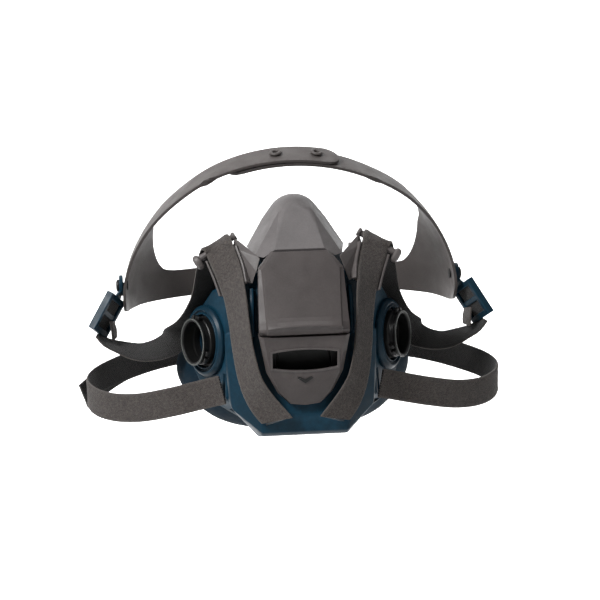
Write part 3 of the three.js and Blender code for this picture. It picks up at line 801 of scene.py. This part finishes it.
def make_seal():
    front, cheek, rim, lip = (pear_ring(h) for h in (SEAL_FRONT, SEAL_CHEEK, SEAL_RIM, SEAL_LIP))
    middle = [a.lerp(b, 0.5) for a, b in zip(cheek, rim)]
    bulge = pulled_in(middle, -1.8, 0)
    rings = [
        front, cheek, bulge, rim, pulled_in(rim, 1.6, 1.9), pulled_in(rim, 4.4, 2.3),
        [a.lerp(b, 0.5) + Vector((0, 0.6, 0)) for a, b in zip(pulled_in(rim, 4.4, 2.3), lip)],
        lip, pulled_in(lip, -0.6, -1.5), pulled_in(rim, 4.6, 0.2),
        pulled_in(rim, SEAL_WALL, -1.4), pulled_in(bulge, SEAL_WALL, 0), pulled_in(cheek, SEAL_WALL, 0.6),
        pulled_in(front, SEAL_WALL, 1.2),
    ]
    points = [p for ring in rings for p in ring]
    faces = tube_faces([*range(0, len(points), SEAL_POINTS), 0], SEAL_POINTS)
    seal = mesh_object("face_seal_skin", points, faces)
    modified(seal, "SUBSURF", levels=2)
    cut(seal, *[port_tool(14.4, -16, 4, sign) for _, sign in SIDES])
    placed(seal, "silicone", "facepiece", "face_seal", worn=False, weighted=False)


# ------------------------------------------------------------------ nose cone

DOME_CENTRE = Vector((0, -17, 57.5))
DOME_RADII = Vector((16, 23.4, 16))


def dome_points():
    """The rounded top of the cone: the front half of an ellipsoid's cap."""
    points = []
    for i in range(15):
        up = math.radians(25 + 65 * i / 14)
        for k in range(19):
            turn = math.radians(-180 + 180 * k / 18)
            points.append(DOME_CENTRE + Vector((
                DOME_RADII.x * math.cos(up) * math.cos(turn),
                DOME_RADII.y * math.cos(up) * math.sin(turn),
                DOME_RADII.z * math.sin(up),
            )))
    return [tuple(p) for p in points]


def make_cone():
    facets = both_sides([
        (6.2, -38, 64.8), (14, -57.2, 45.6), (9.4, -36.2, 65.8), (20.4, -55.4, 41),
        (28.6, -25, 44), (18.8, -19, 59.4), (25, -50, 41.5),
    ])
    cone = hull("nose_cone_shell", dome_points() + facets)
    rounded(cone, 0.9, angle=17)
    hollow = hull("cone_hollow", both_sides([
        (0, -10, 70.6), (8, -10, 67), (15.8, -10, 56.5), (25.8, -10, 38), (6, -34.5, 61), (13, -53.6, 42),
        (13, -53.8, 36), (22, -48.6, 36), (25.6, -27, 38),
    ]))
    cut(cone, hollow)
    placed(cone, "cone", "facepiece", "nose_cone", sharp=30)


# ---------------------------------------------------------------- front frame

SHELL_WALL = 2.3


def on_panel(y, z, depth=0.0):
    """A point of the right side panel, in the plane that the port stands on, moved in by a depth."""
    a, c = PORT_AXIS, PORT_CENTRE
    return (c.x - (a.y * (y - c.y) + a.z * (z - c.z) + depth) / a.x, y, z)


PANEL_OUTLINE = [
    (-43, 22), (-30.5, 19.5), (-13.5, 2), (-9.6, -12), (-13.6, -30), (-29.5, -45), (-47.5, -41),
]


def port_tool(radius, low, high, sign):
    """A cutter about the port's axis, on the right for a positive sign."""
    return aim(rod(radius, low, high), to_side(PORT_CENTRE, sign), to_side(PORT_AXIS, sign))


def make_frame():
    panel = [on_panel(y, z) for y, z in PANEL_OUTLINE]
    upper = hull("front_frame_shell", both_sides(panel + [
        (22, -56.5, 34), (27, -59, 10), (27, -61, -20), (40, -50, -40), (20, -48, 34), (26, -46, -60),
    ]))
    rounded(upper, 1.1)
    lower = hull("frame_front", both_sides([
        (44.3, -49, -2), (27, -61.2, 0), (41.2, -53, -46), (24.6, -66.6, -58), (29, -65, -36),
        (14, -67.8, -47), (26, -46, -65), (43, -46, -42), (24, -50, -2), (24.4, -63.5, -60.4),
    ]))
    rounded(lower, 1.2)
    joined(upper, lower)
    cut(upper, hull("frame_hollow", both_sides([
        on_panel(-42, 28, SHELL_WALL), on_panel(-27, 28, SHELL_WALL), on_panel(-6, 6, SHELL_WALL),
        on_panel(0, -14, SHELL_WALL), on_panel(-4, -32, SHELL_WALL), on_panel(-22, -46, SHELL_WALL),
        on_panel(-45.6, -40, SHELL_WALL), (20, -54.2, 40), (20, -30, 40), (38.8, -49.4, -44.4),
        (24, -62.4, -54), (25, -56.5, 10), (27, -61, -35), (13, -64.2, -45), (25, -40, -62), (30, 5, -60),
        (40, 10, 20),
    ])))
    for _, sign in SIDES:
        cut(upper, port_tool(15.4, -6, 6, sign))
    cut(upper, aim(rod(17.35, -8, 10), EXHALE_CENTRE, EXHALE_AXIS))
    for _, sign in SIDES:
        slot_ends = [
            on_panel(y, z, depth) for z in (-27, -44.5) for y in (-46.5, -43.8) for depth in (-4, 1.5)
        ]
        cut(upper, hull("neck_slot", [(sign * x, y, z) for x, y, z in slot_ends]))
        chin = [(9.5, -49.5), (9.5, -47), (22.5, -53.5), (22.5, -51)]
        cut(upper, hull("chin_slot", [(sign * x, y, z) for x, z in chin for y in (-75, -58)]))
    placed(upper, "frame", "facepiece", "front_frame", sharp=30)
    make_frame_ribs()
    make_ears()


def make_frame_ribs():
    """The rounded rib on each side of the latch cover."""
    rib = swept("frame_rib", [
        (p, (0.15, -1, 0))
        for p in ((28, -58.2, 24), (28.1, -62.6, 18), (28.3, -64.2, 10), (28.4, -65, 3), (28.3, -63, -2.5))
    ], smooth_profile([(-1.25, -6), (1.25, -6), (1.25, 0.6), (-1.25, 0.6)], 1.2, 5), 1.0)
    placed_pair(rib, "frame_rib", "frame", "facepiece")


def make_ears():
    """The ears of the frame that the latch turns on."""
    low, high, radius = 33.6, 36.4, 3.3
    ear = hull("hinge_ear", [
        (x, HINGE.y + radius * math.cos(a), HINGE.z + radius * math.sin(a))
        for x in (low, high) for a in (math.pi * i / 10 - 0.6 for i in range(12))
    ] + [(x, y, z) for x in (low, high) for y, z in ((-47.4, 23), (-41.6, 23), (-47, 30))])
    rounded(ear, 0.5)
    cut(ear, aim(rod(1.5, -5, 10, 24), (low, HINGE.y, HINGE.z), X_AXIS))
    placed_pair(ear, "hinge_ear", "frame", "facepiece")


# ---------------------------------------------------------------- latch cover

LATCH_ROWS = [
    # height, front, half width, panel half width, side return, how far the middle rises
    (44.4, -57.6, 15.4, 14.2, 2.0, 0.0),
    (44.6, -59.4, 16.2, 14.8, 2.5, 0.0),
    (40, -62.4, 20.2, 18.6, 4.5, 0.0),
    (35.4, -65.2, 24, 21.6, 6.5, 0.0),
    (26, -69.6, 24.4, 21.2, 8.5, 0.0),
    (17, -74, 24.8, 20.9, 9, 0.0),
    (9.4, -78, 25, 20.6, 9, 0.5),
    (6.8, -80, 25.1, 20.5, 9, 1.2),
    (4.6, -83.3, 25.2, 20.5, 9, 2.0),
    (3.6, -83.9, 25.2, 20.5, 9, 2.3),
    (2.2, -82.8, 25.2, 20.5, 9, 2.0),
    (1.1, -81.4, 25.1, 20.6, 9, 1.5),
    (0.3, -80.2, 25, 20.7, 8, 1.0),
    (-0.2, -79, 24.9, 20.8, 7, 0.6),
]
PANEL_STEP = 1.5  # how far the panel stands out from its border
PANEL_COLUMNS = 8


def make_latch_cover():
    points = []
    for z, y, half, panel, side, rise in LATCH_ROWS:
        row = [(half, side), (half, 0.6), (panel + 0.9, -PANEL_STEP * 0.35), (panel, -PANEL_STEP)]
        for i in range(1, PANEL_COLUMNS + 1):
            inward = i / PANEL_COLUMNS
            row.append((panel * (1 - inward), -PANEL_STEP - 0.5 * inward ** 0.5))
        for x, dy in row + [(-x, dy) for x, dy in reversed(row[:-1])]:
            bow = rise * (1 - (x / half) ** 2)
            drop = 3.2 * (abs(x) / half) ** 3 if y < -83 else 1.6 * (abs(x) / half) ** 3
            points.append((x, y + PANEL_STEP + dy + drop * (z < 6), z + bow))
    width = len(points) // len(LATCH_ROWS)
    faces = []
    for r in range(len(LATCH_ROWS) - 1):
        for i in range(width - 1):
            a = r * width + i
            faces.append((a, a + 1, a + width + 1, a + width))
    cover = mesh_object("latch_cover_shell", points, faces)
    if sum(f.normal.y for f in cover.data.polygons) > 0:
        cover.data.flip_normals()
    modified(cover, "SOLIDIFY", thickness=1.9 * MM, offset=-1, use_even_offset=True, thickness_clamp=1.0)
    rounded(cover, 0.45, angle=14)
    placed(cover, "cover", "latch", "latch_cover", sharp=50)


# ---------------------------------------------------------------- latch wings


def make_wings():
    shoulder = 26.2
    web = hull("wing", [
        (shoulder, -60, 33.6), (shoulder, -57, 33), (shoulder, -52.4, 42.6), (shoulder, -50, 41.2),
        (22.6, -58.8, 41.4), (22.8, -56.8, 40), (25, -61, 34),
        (35.4, -43.4, 51), (36.2, -41, 50.4), (33.6, -45.2, 50),
        (27.4, -60.2, 27), (29, -57, 26.6), (38.4, -47.6, 40), (38, -45.4, 40), (33.4, -50.4, 45),
    ])
    rounded(web, 0.7, angle=10)
    half = STRAP_WIDTH / 2 + 0.7
    wall, floor_low, floor_high, lip = 1.3, -2.6, -1.1, 1.0
    trough = swept("trough", [
        ((43.8, -46.4, 43), (0.46, -0.74, 0.46)), ((40.4, -51.5, 33.5), (0.5, -0.82, 0.25)),
        ((38, -56.6, 24), (0.6, -0.78, 0.12)),
    ], smooth_profile([
        (-half - wall, floor_low), (half + wall, floor_low), (half + wall, lip), (half, lip),
        (half, floor_high), (-half, floor_high), (-half, lip), (-half - wall, lip),
    ], 0.45, 2), 1.5)
    axis = BAR_OUTER - BAR_INNER
    length = axis.length
    bar = aim(rod(BAR_RADIUS, -1, length + 2, 32), BAR_INNER, axis)
    inner_profile = [(0, 0), (2.1, 0), (2.6, 0.5), (2.6, 1.5), (2.1, 2), (0, 2)]
    inner_end = aim(turned("inner_end", inner_profile, 40, False), BAR_INNER - axis.normalized() * 1.4, axis)
    knob_profile = [(0, 0), (3.4, 0), (4.3, 0.8), (4.5, 2), (4.1, 3.2), (2.6, 4), (0, 4.2)]
    knob = aim(turned("knob", knob_profile, 40, False), BAR_OUTER + Vector((0.4, -0.6, -1.6)), axis)
    boss = aim(turned("boss", smooth_profile([(1.8, 0), (4, 0), (4, 3.2), (1.8, 3.2)], 0.4), 40),
               (30, HINGE.y, HINGE.z), X_AXIS)
    arm = rounded(hull("boss_arm", [
        (x, y, z) for x in (30, 33.2) for y, z in ((-49, 38.6), (-48, 46.4), (-41.4, 38.6), (-41, 45.4))
    ]), 0.4)
    channel_tool = swept("strap_space", [
        ((45.6, -43.6, 46.4), (0.46, -0.72, 0.5)), ((43.8, -46.4, 43), (0.46, -0.74, 0.46)),
        ((40.4, -51.5, 33.5), (0.5, -0.82, 0.25)), ((37, -59, 20), (0.6, -0.78, 0.12)),
    ], [(-half, -1.1), (half, -1.1), (half, 14), (-half, 14)], 2.0)
    cut(web, channel_tool)
    joined(web, arm)
    merged(web, trough, bar, inner_end, knob, boss)
    placed_pair(web, "latch_wing_arm", "wing", "latch", "latch_wing", sharp=32)


# ------------------------------------------------------------- exhale cover

COVER_OUTLINE = [
    (0, -0.4), (25.4, -0.6), (24.6, -5), (23, -14), (21.6, -22), (15.6, -34), (9, -40.6), (0, -41.6),
]
WINDOW_HALF = 18.3
WINDOW_TOP = -10
WINDOW_BOTTOM = -19
WINDOW_BOW = 1.7
LOWER_BOW = 1.1  # the lower edge bows more than the upper by this factor


def cover_y(z):
    return -79.6 - 0.19 * z


def make_exhale_cover():
    face = [(x * 0.9, cover_y(z) + 0.2, z * 0.985 - 0.4) for x, z in COVER_OUTLINE]
    shoulder = [(x, cover_y(z) + 3.4, z) for x, z in COVER_OUTLINE]
    back = [(x, max(-68.2, -62.6 + 0.16 * z), z) for x, z in COVER_OUTLINE]
    outer = hull("exhale_cover_shell", both_sides(face + shoulder + back))
    rounded(outer, 1.0, angle=12)
    inner = hull("cover_hollow", both_sides(
        [(x * 0.84, cover_y(z) + 2.3, (z + 20) * 0.9 - 20) for x, z in COVER_OUTLINE]
        + [(x * 0.9, -60, (z + 20) * 0.9 - 20) for x, z in COVER_OUTLINE]
    ))
    cut(outer, inner)
    window = []
    for x in (-WINDOW_HALF, -12, -6, 0, 6, 12, WINDOW_HALF):
        bow = WINDOW_BOW * (1 - (x / WINDOW_HALF) ** 2)
        window += [(x, WINDOW_TOP + bow), (x, WINDOW_BOTTOM - bow * LOWER_BOW)]
    cut(outer, hull("window_tool", [(x, y, z) for x, z in window for y in (-90, -70)]))
    placed(outer, "cover", "facepiece", "exhale_cover", sharp=30)
    make_window_frame()
    make_chevron()
    make_outlet_seat()


def make_outlet_seat():
    """The valve's seat: a wide flange against the cover and three spokes behind the flap."""
    seat = turned("outlet_seat", smooth_profile([
        (13.4, -1.5), (16.9, -1.5), (16.9, 2.8), (20.8, 2.8), (20.8, 4.2), (15.6, 4.2), (15.2, 2.9),
        (15.2, 1.1), (13.4, 1.1),
    ], 0.3), 96)
    spokes = []
    for i in range(3):
        spoke = rounded(block("spoke", (27.2, 1.6, 1.8), (0, 0, -0.3)), 0.3)
        spoke.data.transform(Matrix.Rotation(math.pi * i / 3, 4, "Z"))
        spokes.append(spoke)
    hub = turned("hub", smooth_profile([(0, -1.4), (2.4, -1.4), (2.4, 0.8), (0, 0.8)], 0.3), 24)
    aim(merged(seat, hub, *spokes), EXHALE_CENTRE, EXHALE_AXIS)
    placed(seat, "black", "facepiece", "exhale_valve_seat", sharp=40)


def window_outline(grow):
    """The window's edge grown by a distance, from its upper left corner round."""
    half, top, bottom = WINDOW_HALF + grow, WINDOW_TOP + grow, WINDOW_BOTTOM - grow
    points = []
    steps = 12
    for i in range(steps + 1):
        x = -half + 2 * half * i / steps
        points.append((x, top + WINDOW_BOW * (1 - (x / half) ** 2)))
    for i in range(steps + 1):
        x = half - 2 * half * i / steps
        points.append((x, bottom - WINDOW_BOW * LOWER_BOW * (1 - (x / half) ** 2)))
    return points


def make_window_frame():
    """A thin raised border round the outlet's window."""
    inner, outer = window_outline(-0.15), window_outline(1.0)
    count = len(inner)
    rings = [(inner, 1.8), (inner, -0.25), (outer, -0.25), (outer, 0.9)]
    points = [(x, cover_y(z) + lift, z) for ring, lift in rings for x, z in ring]
    faces = tube_faces([*range(0, len(points), count), 0], count)
    border = mesh_object("window_border", points, faces)
    rounded(border, 0.25, angle=35, segments=2)
    placed(border, "wing", "facepiece", sharp=50)


def make_chevron():
    """A generic chevron under the window."""
    arm, drop, thick, top = 4.6, 2.6, 1.5, -25.2
    outline = [
        (-arm, top), (-arm + 1.2, top + 0.9), (0, top - drop + 1.9), (arm - 1.2, top + 0.9), (arm, top),
        (0, top - drop - thick + 0.9),
    ]
    count = len(outline)
    points = [(x, cover_y(z) + lift, z) for lift in (0.9, -0.35) for x, z in outline]
    halves = ((0, 1, 2, 5), (2, 3, 4, 5))
    faces = [tuple(start + i for i in half) for start in (0, count) for half in halves]
    faces += tube_faces((0, count), count)
    chevron = mesh_object("chevron", points, faces)
    rounded(chevron, 0.2, angle=35, segments=2)
    placed(chevron, "black", "facepiece", sharp=50)


# ---------------------------------------------------------- filter connections


def make_ports():
    tube_profile = smooth_profile([
        (11.6, -7), (13.8, -7), (13.8, -1.2), (14.9, -1.2), (14.9, 1.6), (13.8, 1.6), (13.8, 5.2),
        (13.2, 5.6), (13.2, 8.6), (13.8, 8.9), (13.8, 10), (12.2, 10), (11.9, 9.2), (11.9, 3), (11.6, 2.4),
    ], 0.3, 2)
    tube = turned("port_tube_shell", tube_profile, 96)
    lug_angles = [0.6 + i * 2 * math.pi / 3 for i in range(3)]
    for angle in lug_angles:
        for offset in (-0.2, 0.14):
            lug = block("lug", (2.4, 2.6 if offset < 0 else 3.6, 2.6), (14.3, 0, 7.4))
            rounded(lug, 0.55)
            lug.data.transform(Matrix.Rotation(angle + offset, 4, "Z"))
            merged(tube, lug)
    aim(tube, PORT_CENTRE, PORT_AXIS)
    placed_pair(tube, "bayonet_tube", "black", "facepiece", "port_tube", sharp=40)
    # A light grey ring on the bayonet's lip: painted highlight.
    rim = turned("port_rim", smooth_profile([(13, 9.85), (13.7, 9.85), (13.7, 10.2), (13, 10.2)], 0.1), 96)
    placed_pair(aim(rim, PORT_CENTRE, PORT_AXIS), "bayonet_rim", "rim", "facepiece", sharp=50)
    bezel_profile = smooth_profile([
        (15.7, 0.2), (21, 0.2), (20.9, 2), (19.3, 3.7), (18.1, 3.8), (17.6, 2.6), (16.8, 2.5), (16.4, 3.4),
        (15.7, 3.4),
    ], 0.5, 3)
    bezel = aim(turned("bezel", bezel_profile, 96), PORT_CENTRE, PORT_AXIS)
    placed_pair(bezel, "port_surround", "frame", "facepiece", "port_bezel", sharp=50)


# ------------------------------------------------------------------- buckles

BUCKLE_TOP = Vector((106.6, 18.2, 10.8))
BUCKLE_ALONG = Vector((12.5, -6.5, -21)).normalized()
BUCKLE_LENGTH = 25
BUCKLE_WIDTH = 21
MIDDLE_BAR = 12.4
EYE_PLACE = (102.6, PIVOT.y, PIVOT.z)
EYE_RADIUS = 3


def buckle_turn():
    across = Vector((0.36, -0.86, 0.34))
    across = (across - BUCKLE_ALONG * across.dot(BUCKLE_ALONG)).normalized()
    out = across.cross(BUCKLE_ALONG)
    if out.x < 0:
        across, out = -across, -out
    return Matrix.Translation(BUCKLE_TOP * MM) @ Matrix((across, BUCKLE_ALONG, out)).transposed().to_4x4()


def make_buckles():
    length, half = BUCKLE_LENGTH, BUCKLE_WIDTH / 2
    rail = 3.0
    body = rounded(block("ladder", (rail, length, 4.6), (half - rail / 2, length / 2, 0)), 0.7)
    parts = [rounded(block("rail", (rail, length, 4.6), (-half + rail / 2, length / 2, 0)), 0.7)]
    for middle, depth, tall in ((1.7, 3.4, 4.2), (MIDDLE_BAR, 3.2, 3.4), (length - 1.8, 3.6, 4.2)):
        parts.append(rounded(block("rung", (BUCKLE_WIDTH - 2, depth, tall), (0, middle, 0)), 0.7))
    joined(body, *parts)
    body.data.transform(buckle_turn())
    neck = rounded(hull("neck", [
        (102.7, 16, 15), (102.7, 28, 15), (104.4, 16, 15), (104.4, 28, 15),
        (104.2, 26, 8.2), (105.6, 25.8, 7.2), (107.4, 11.6, 11.2), (109.2, 11.8, 10),
    ]), 0.4)
    eye_profile = smooth_profile([(EYE_RADIUS, 0), (6.4, 0), (6.4, 2.2), (EYE_RADIUS, 2.2)], 0.4)
    eye = aim(turned("eye", eye_profile, 48), EYE_PLACE, X_AXIS)
    cut(neck, aim(rod(EYE_RADIUS, -5, 12, 48), EYE_PLACE, X_AXIS))
    joined(body, neck)
    merged(body, eye)
    placed_pair(body, "ladder_buckle", "frame", "facepiece", "buckle", sharp=35)
    make_buckle_loops()


def make_buckle_loops():
    """The strap in the buckle's windows, both faces in near-black painted shade."""
    turn = buckle_turn()
    out = turn.to_3x3().col[2]
    route = [(BUCKLE_LENGTH - 1, -0.3), (BUCKLE_LENGTH - 8, -0.3), (MIDDLE_BAR - 3, -0.3), (2.6, -0.3)]
    stations = [(tuple(turn @ Vector((0, y * MM, z * MM)) / MM), tuple(out)) for y, z in route]
    for side, sign in SIDES:
        route = stations if sign > 0 else on_left(stations)
        loop = webbing(f"buckle_webbing_{side}", route, TAIL_WIDTH - 0.2)
        # Every face takes the near-black webbing: painted shade.
        for face in loop.data.polygons:
            face.material_index = 1
        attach(loop, "facepiece")


def make_neck_clip():
    y, z = 62, -30
    hook = rounded(block("clip_hook", (21, 3.2, 19.6), (-11.9, y, z)), 0.8)
    tongue = rounded(block("tongue", (8, 1.5, 9), (1.2, y + 0.6, z)), 0.4)
    cut(hook, block("hook_slot", (3, 8, 17.4), (-18.4, y, z)))
    joined(hook, tongue)
    placed(hook, "black", "facepiece", "neck_clip_hook", sharp=35)
    loop = rounded(block("clip_loop", (22, 4.6, 20), (11.4, y, z)), 0.9)
    cut(
        loop, block("loop_mouth", (9, 3.2, 10.4), (1.5, y + 0.6, z)),
        block("loop_slot", (3, 8, 17.4), (18.4, y, z)), block("loop_window", (5, 8, 8), (8.5, y + 3, z)),
    )
    placed(loop, "black", "facepiece", "neck_clip_loop", sharp=35)


# --------------------------------------------------------------- head cradle

CRADLE_REACH = 75  # from the pivot to the back of the band
CROWN_HALF = 102  # the crown is half an ellipse that leans forward
CROWN_CENTRE_Z = 5
CROWN_RISE = 90
CROWN_BASE = 20  # height where the arm leaves the lobe
CROWN_START = math.asin((CROWN_BASE - CROWN_CENTRE_Z) / CROWN_RISE)
CROWN_REACH = 95  # millimetres along the arm for each radian
CROWN_Y = -14
LOBE_FLARE = 1.4
SHEET = 1.7  # the plastic's thickness
LAYER = 1.15  # how far each arm moves off the common surface where they overlap
HALF_ROUND = CRADLE_REACH * math.pi / 2
# From the back of the band, along its lower edge, round the lobe and up the arm's front edge.
FRONT_EDGE = [
    (30, -19.75), (18, -20.3), (6, -20.2), (-3.5, -18), (-9.5, -12.5), (-12, -5), (-11.8, 4), (-10.4, 14),
    (-9, 26), (-8.4, 42), (-9, 70), (-9.5, 100),
]
# Down the arm's rear edge, round the fillet and on to the band's upper edge.
REAR_EDGE = [
    (9.5, 100), (9.8, 74), (12, 56), (17, 42), (23.5, 30), (29.5, 21), (34.5, 14), (40, 7.6), (46, 2.6),
    (53, -0.6), (60, -2), (66, -2.25),
]


def crown_centre(q):
    a = CROWN_START + max(q, 0) / CROWN_REACH
    foot = math.sin(CROWN_START)
    rise = (math.sin(a) - foot) / (1 - foot)
    below = min(12, max(0, -q))
    flatten = CROWN_HALF / CROWN_REACH * foot * below * (1 - below / 24)
    return Vector((
        CROWN_HALF * math.cos(a) + flatten,
        PIVOT.y + (CROWN_Y - PIVOT.y) * rise,
        CROWN_CENTRE_Z + CROWN_RISE * math.sin(a) + min(q, 0),
    ))


def cradle_point(p, q, lift):
    """A point of the right half: p runs back along the band and q up the arm, both from the pivot."""
    s = p / CRADLE_REACH
    a = max(q, 0) / CROWN_REACH
    middle = crown_centre(q)
    ahead = (crown_centre(q + 1) - crown_centre(q - 1)).normalized()
    lean = math.sin(a) if a > 0 else 0
    across = Vector((0, 1 - 0.07 * lean, 0.37 * lean))
    if q > 0:
        across -= ahead * across.dot(ahead) * min(1, q / 20)
    across.normalize()
    point = middle + across * (CRADLE_REACH * math.sin(s))
    point.x -= middle.x * (1 - math.cos(s))
    point.x += LOBE_FLARE * min(1, max(0, -p / 12)) ** 2 * max(0, 1 - a / 0.5)
    out = across.cross(ahead)
    if out.dot(Vector((middle.x, 0, max(middle.z - CROWN_BASE, 0)))) < 0:
        out = -out
    overlap = min(1, max(0, (a - 0.62) / 0.36))
    return point + out.normalized() * (lift * overlap * overlap * (3 - 2 * overlap))


def crown_q(x):
    """The q of the arm's centre line at a distance x from the middle, negative past the middle."""
    return CROWN_REACH * (math.acos(x / CROWN_HALF) - CROWN_START)


def inside(point, loop):
    """Whether a flat point lies inside a closed outline."""
    x, y = point
    result = False
    for (ax, ay), (bx, by) in zip(loop, loop[1:] + loop[:1]):
        if (ay > y) != (by > y) and x < ax + (bx - ax) * (y - ay) / (by - ay):
            result = not result
    return result


def hole_ring(p, q, radius_p, radius_q, sides=20):
    angles = [2 * math.pi * i / sides for i in range(sides)]
    return [(p + radius_p * math.cos(a), q + radius_q * math.sin(a)) for a in angles]


def edge_line(points, spacing=2.0):
    flat = [Vector((x, y, 0)) for x, y in points]
    line = spline(flat, False, 16 * len(flat))
    result = [line[0]]
    for p in line:
        if (p - result[-1]).length >= spacing:
            result.append(p)
    return [(p.x, p.y) for p in result]


def cradle_half(end_x, lift, holes):
    """One side of the cradle as a flat net of triangles, carried to its curved place."""
    end = crown_q(-end_x)
    steps = int(HALF_ROUND // 3)
    lower = [(HALF_ROUND - (HALF_ROUND - 31) * i / steps, -19.75) for i in range(steps)]
    front = edge_line(FRONT_EDGE)
    turns = [math.radians(-90 + 180 * i / 16) for i in range(17)]
    tip = [(9.5 * math.sin(t), end - 9 + 9 * math.cos(t)) for t in turns]
    up = [(-9.5, 100 + (end - 112) * i / 14) for i in range(1, 14)]
    down = [(9.5, end - 12 - (end - 112) * i / 14) for i in range(1, 14)]
    rear = edge_line(REAR_EDGE)
    upper = [(68 + (HALF_ROUND - 68) * i / steps, -2.25) for i in range(steps + 1)]
    outline = lower + front + up + tip + down + rear + upper
    loops = [outline] + holes
    flat, edges = [], []
    for loop in loops:
        start = len(flat)
        flat += [Vector(p) for p in loop]
        edges += [(start + i, start + (i + 1) % len(loop)) for i in range(len(loop))]
    grid = 2.4
    for i in range(-8, int(HALF_ROUND / grid) + 1):
        for k in range(-9, int(end / grid) + 1):
            p, q = i * grid + 0.31, k * grid * 0.98 + 0.17
            if inside((p, q), outline) and not any(inside((p, q), hole) for hole in holes):
                flat.append(Vector((p, q)))
    made = delaunay_2d_cdt(flat, edges, [], 4, 1e-4)
    points = [cradle_point(p.x, p.y, lift) for p in made[0]]
    return points, [tuple(f) for f in made[2]]


DIAMOND = [(12.05, -1.5), (15.5, -8), (12.05, -14.5), (8.6, -8)]
SNAPS = (-9, 14.5)
SPARE_HOLE = -32


def crown_hole(x, radius):
    """A round hole through an arm, at a distance x from the middle."""
    return hole_ring(0, crown_q(x), radius, radius * CROWN_REACH / CROWN_HALF)


def make_cradle():
    stud_hole = hole_ring(0, -3, 2.2, 2.2)
    left_holes = [DIAMOND, stud_hole, crown_hole(-SPARE_HOLE, 3.0)]
    right, right_faces = cradle_half(38, -LAYER, [DIAMOND, stud_hole, crown_hole(SPARE_HOLE, 2.6)])
    left, left_faces = cradle_half(28, LAYER, left_holes)
    points = list(right) + [Vector((-p.x, p.y, p.z)) for p in left]
    faces = right_faces + [tuple(reversed([i + len(right) for i in f])) for f in left_faces]
    cradle = mesh_object("head_cradle_sheet", points, faces)
    modified(cradle, "WELD", merge_threshold=0.02 * MM)
    facing_out(cradle)
    modified(cradle, "SOLIDIFY", thickness=SHEET * MM, offset=0, use_even_offset=True)
    rounded(cradle, 0.45, angle=55, segments=2)
    placed(cradle, "cradle", "cradle", "head_cradle", sharp=50, weighted=False)
    make_snaps()
    make_key_inserts()
    stud = turned("stud", smooth_profile([
        (0, -2.6), (3, -2.6), (3, -1.6), (1.85, -1.4), (1.85, 0.4), (2.6, 0.6), (2.6, 3.2), (3.9, 3.2),
        (3.7, 4.4), (2.2, 5), (0, 5.1),
    ], 0.3), 48)
    aim(stud, (101.85, PIVOT.y, PIVOT.z), X_AXIS)
    placed_pair(stud, "pivot_stud", "black", "cradle", "cradle_stud", sharp=45)


def make_key_inserts():
    """The black insert in the diamond of each lobe."""
    middle = sum((Vector((x, y)) for x, y in DIAMOND), Vector((0, 0))) / len(DIAMOND)
    corners = [middle + (Vector(c) - middle) * 0.94 for c in DIAMOND]
    points = [cradle_point(c.x, c.y, 0) + Vector((shift, 0, 0)) for shift in (-0.7, 0.45) for c in corners]
    insert = rounded(hull("key_insert", points), 0.15)
    placed_pair(insert, "key_insert", "black", "cradle", sharp=40)


def crown_frame(x):
    """The place between the crown's layers at the object's own X, and the direction out of it."""
    q = crown_q(-x)
    place = cradle_point(0, q, 0)
    ahead = cradle_point(0, q + 1, 0) - cradle_point(0, q - 1, 0)
    side = cradle_point(1, q, 0) - cradle_point(-1, q, 0)
    out = side.cross(ahead).normalized()
    if out.z < 0:
        out = -out
    return Vector((-place.x, place.y, place.z)), Vector((-out.x, out.y, out.z))


def make_snaps():
    """Hollow posts that hold the two arms together over the crown, and a black disc in the spare hole as
    painted shade.
    """
    profile = smooth_profile([
        (1.5, -1), (2.5, -1), (2.5, 2.2), (3.6, 2.6), (3.7, 3.4), (3, 4), (1.9, 3.9), (1.5, 3.3),
    ], 0.3)
    posts = [aim(turned("snap_post", profile, 40), *crown_frame(x)) for x in SNAPS]
    posts[0].name = "crown_snaps"
    placed(merged(*posts), "cradle", "cradle", sharp=50)
    # A black disc inside the spare hole stands in for its shadow: painted shade.
    shade_disc_profile = [(0, 0.1), (2.85, 0.1), (2.95, 1.75), (2.6, 1.8), (2.4, 1.2), (0, 1.1)]
    shade_disc = turned("spare_hole_painted_shade", shade_disc_profile, 40, closed=False)
    placed(aim(shade_disc, *crown_frame(SPARE_HOLE)), "black", "cradle", sharp=50)


# -------------------------------------------------------- carried-over pieces

CARRIED = {
    "exhale_valve": "black",
    "port_gasket_left": "silicone", "port_gasket_right": "silicone",
    "inhale_valve_seat_left": "black", "inhale_valve_seat_right": "black",
    "inhale_valve_left": "flap", "inhale_valve_right": "flap",
    "latch_pin_left": "black", "latch_pin_right": "black",
}


def finish_carried_nodes():
    for name, look in CARRIED.items():
        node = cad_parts[name]
        for socket in node.material_slots:
            socket.material = LOOKS[look]


make_camera()
make_stage()
make_lights()
make_harness()
make_seal()
make_cone()
make_frame()
make_latch_cover()
make_wings()
make_exhale_cover()
make_ports()
make_buckles()
make_neck_clip()
make_cradle()
finish_carried_nodes()
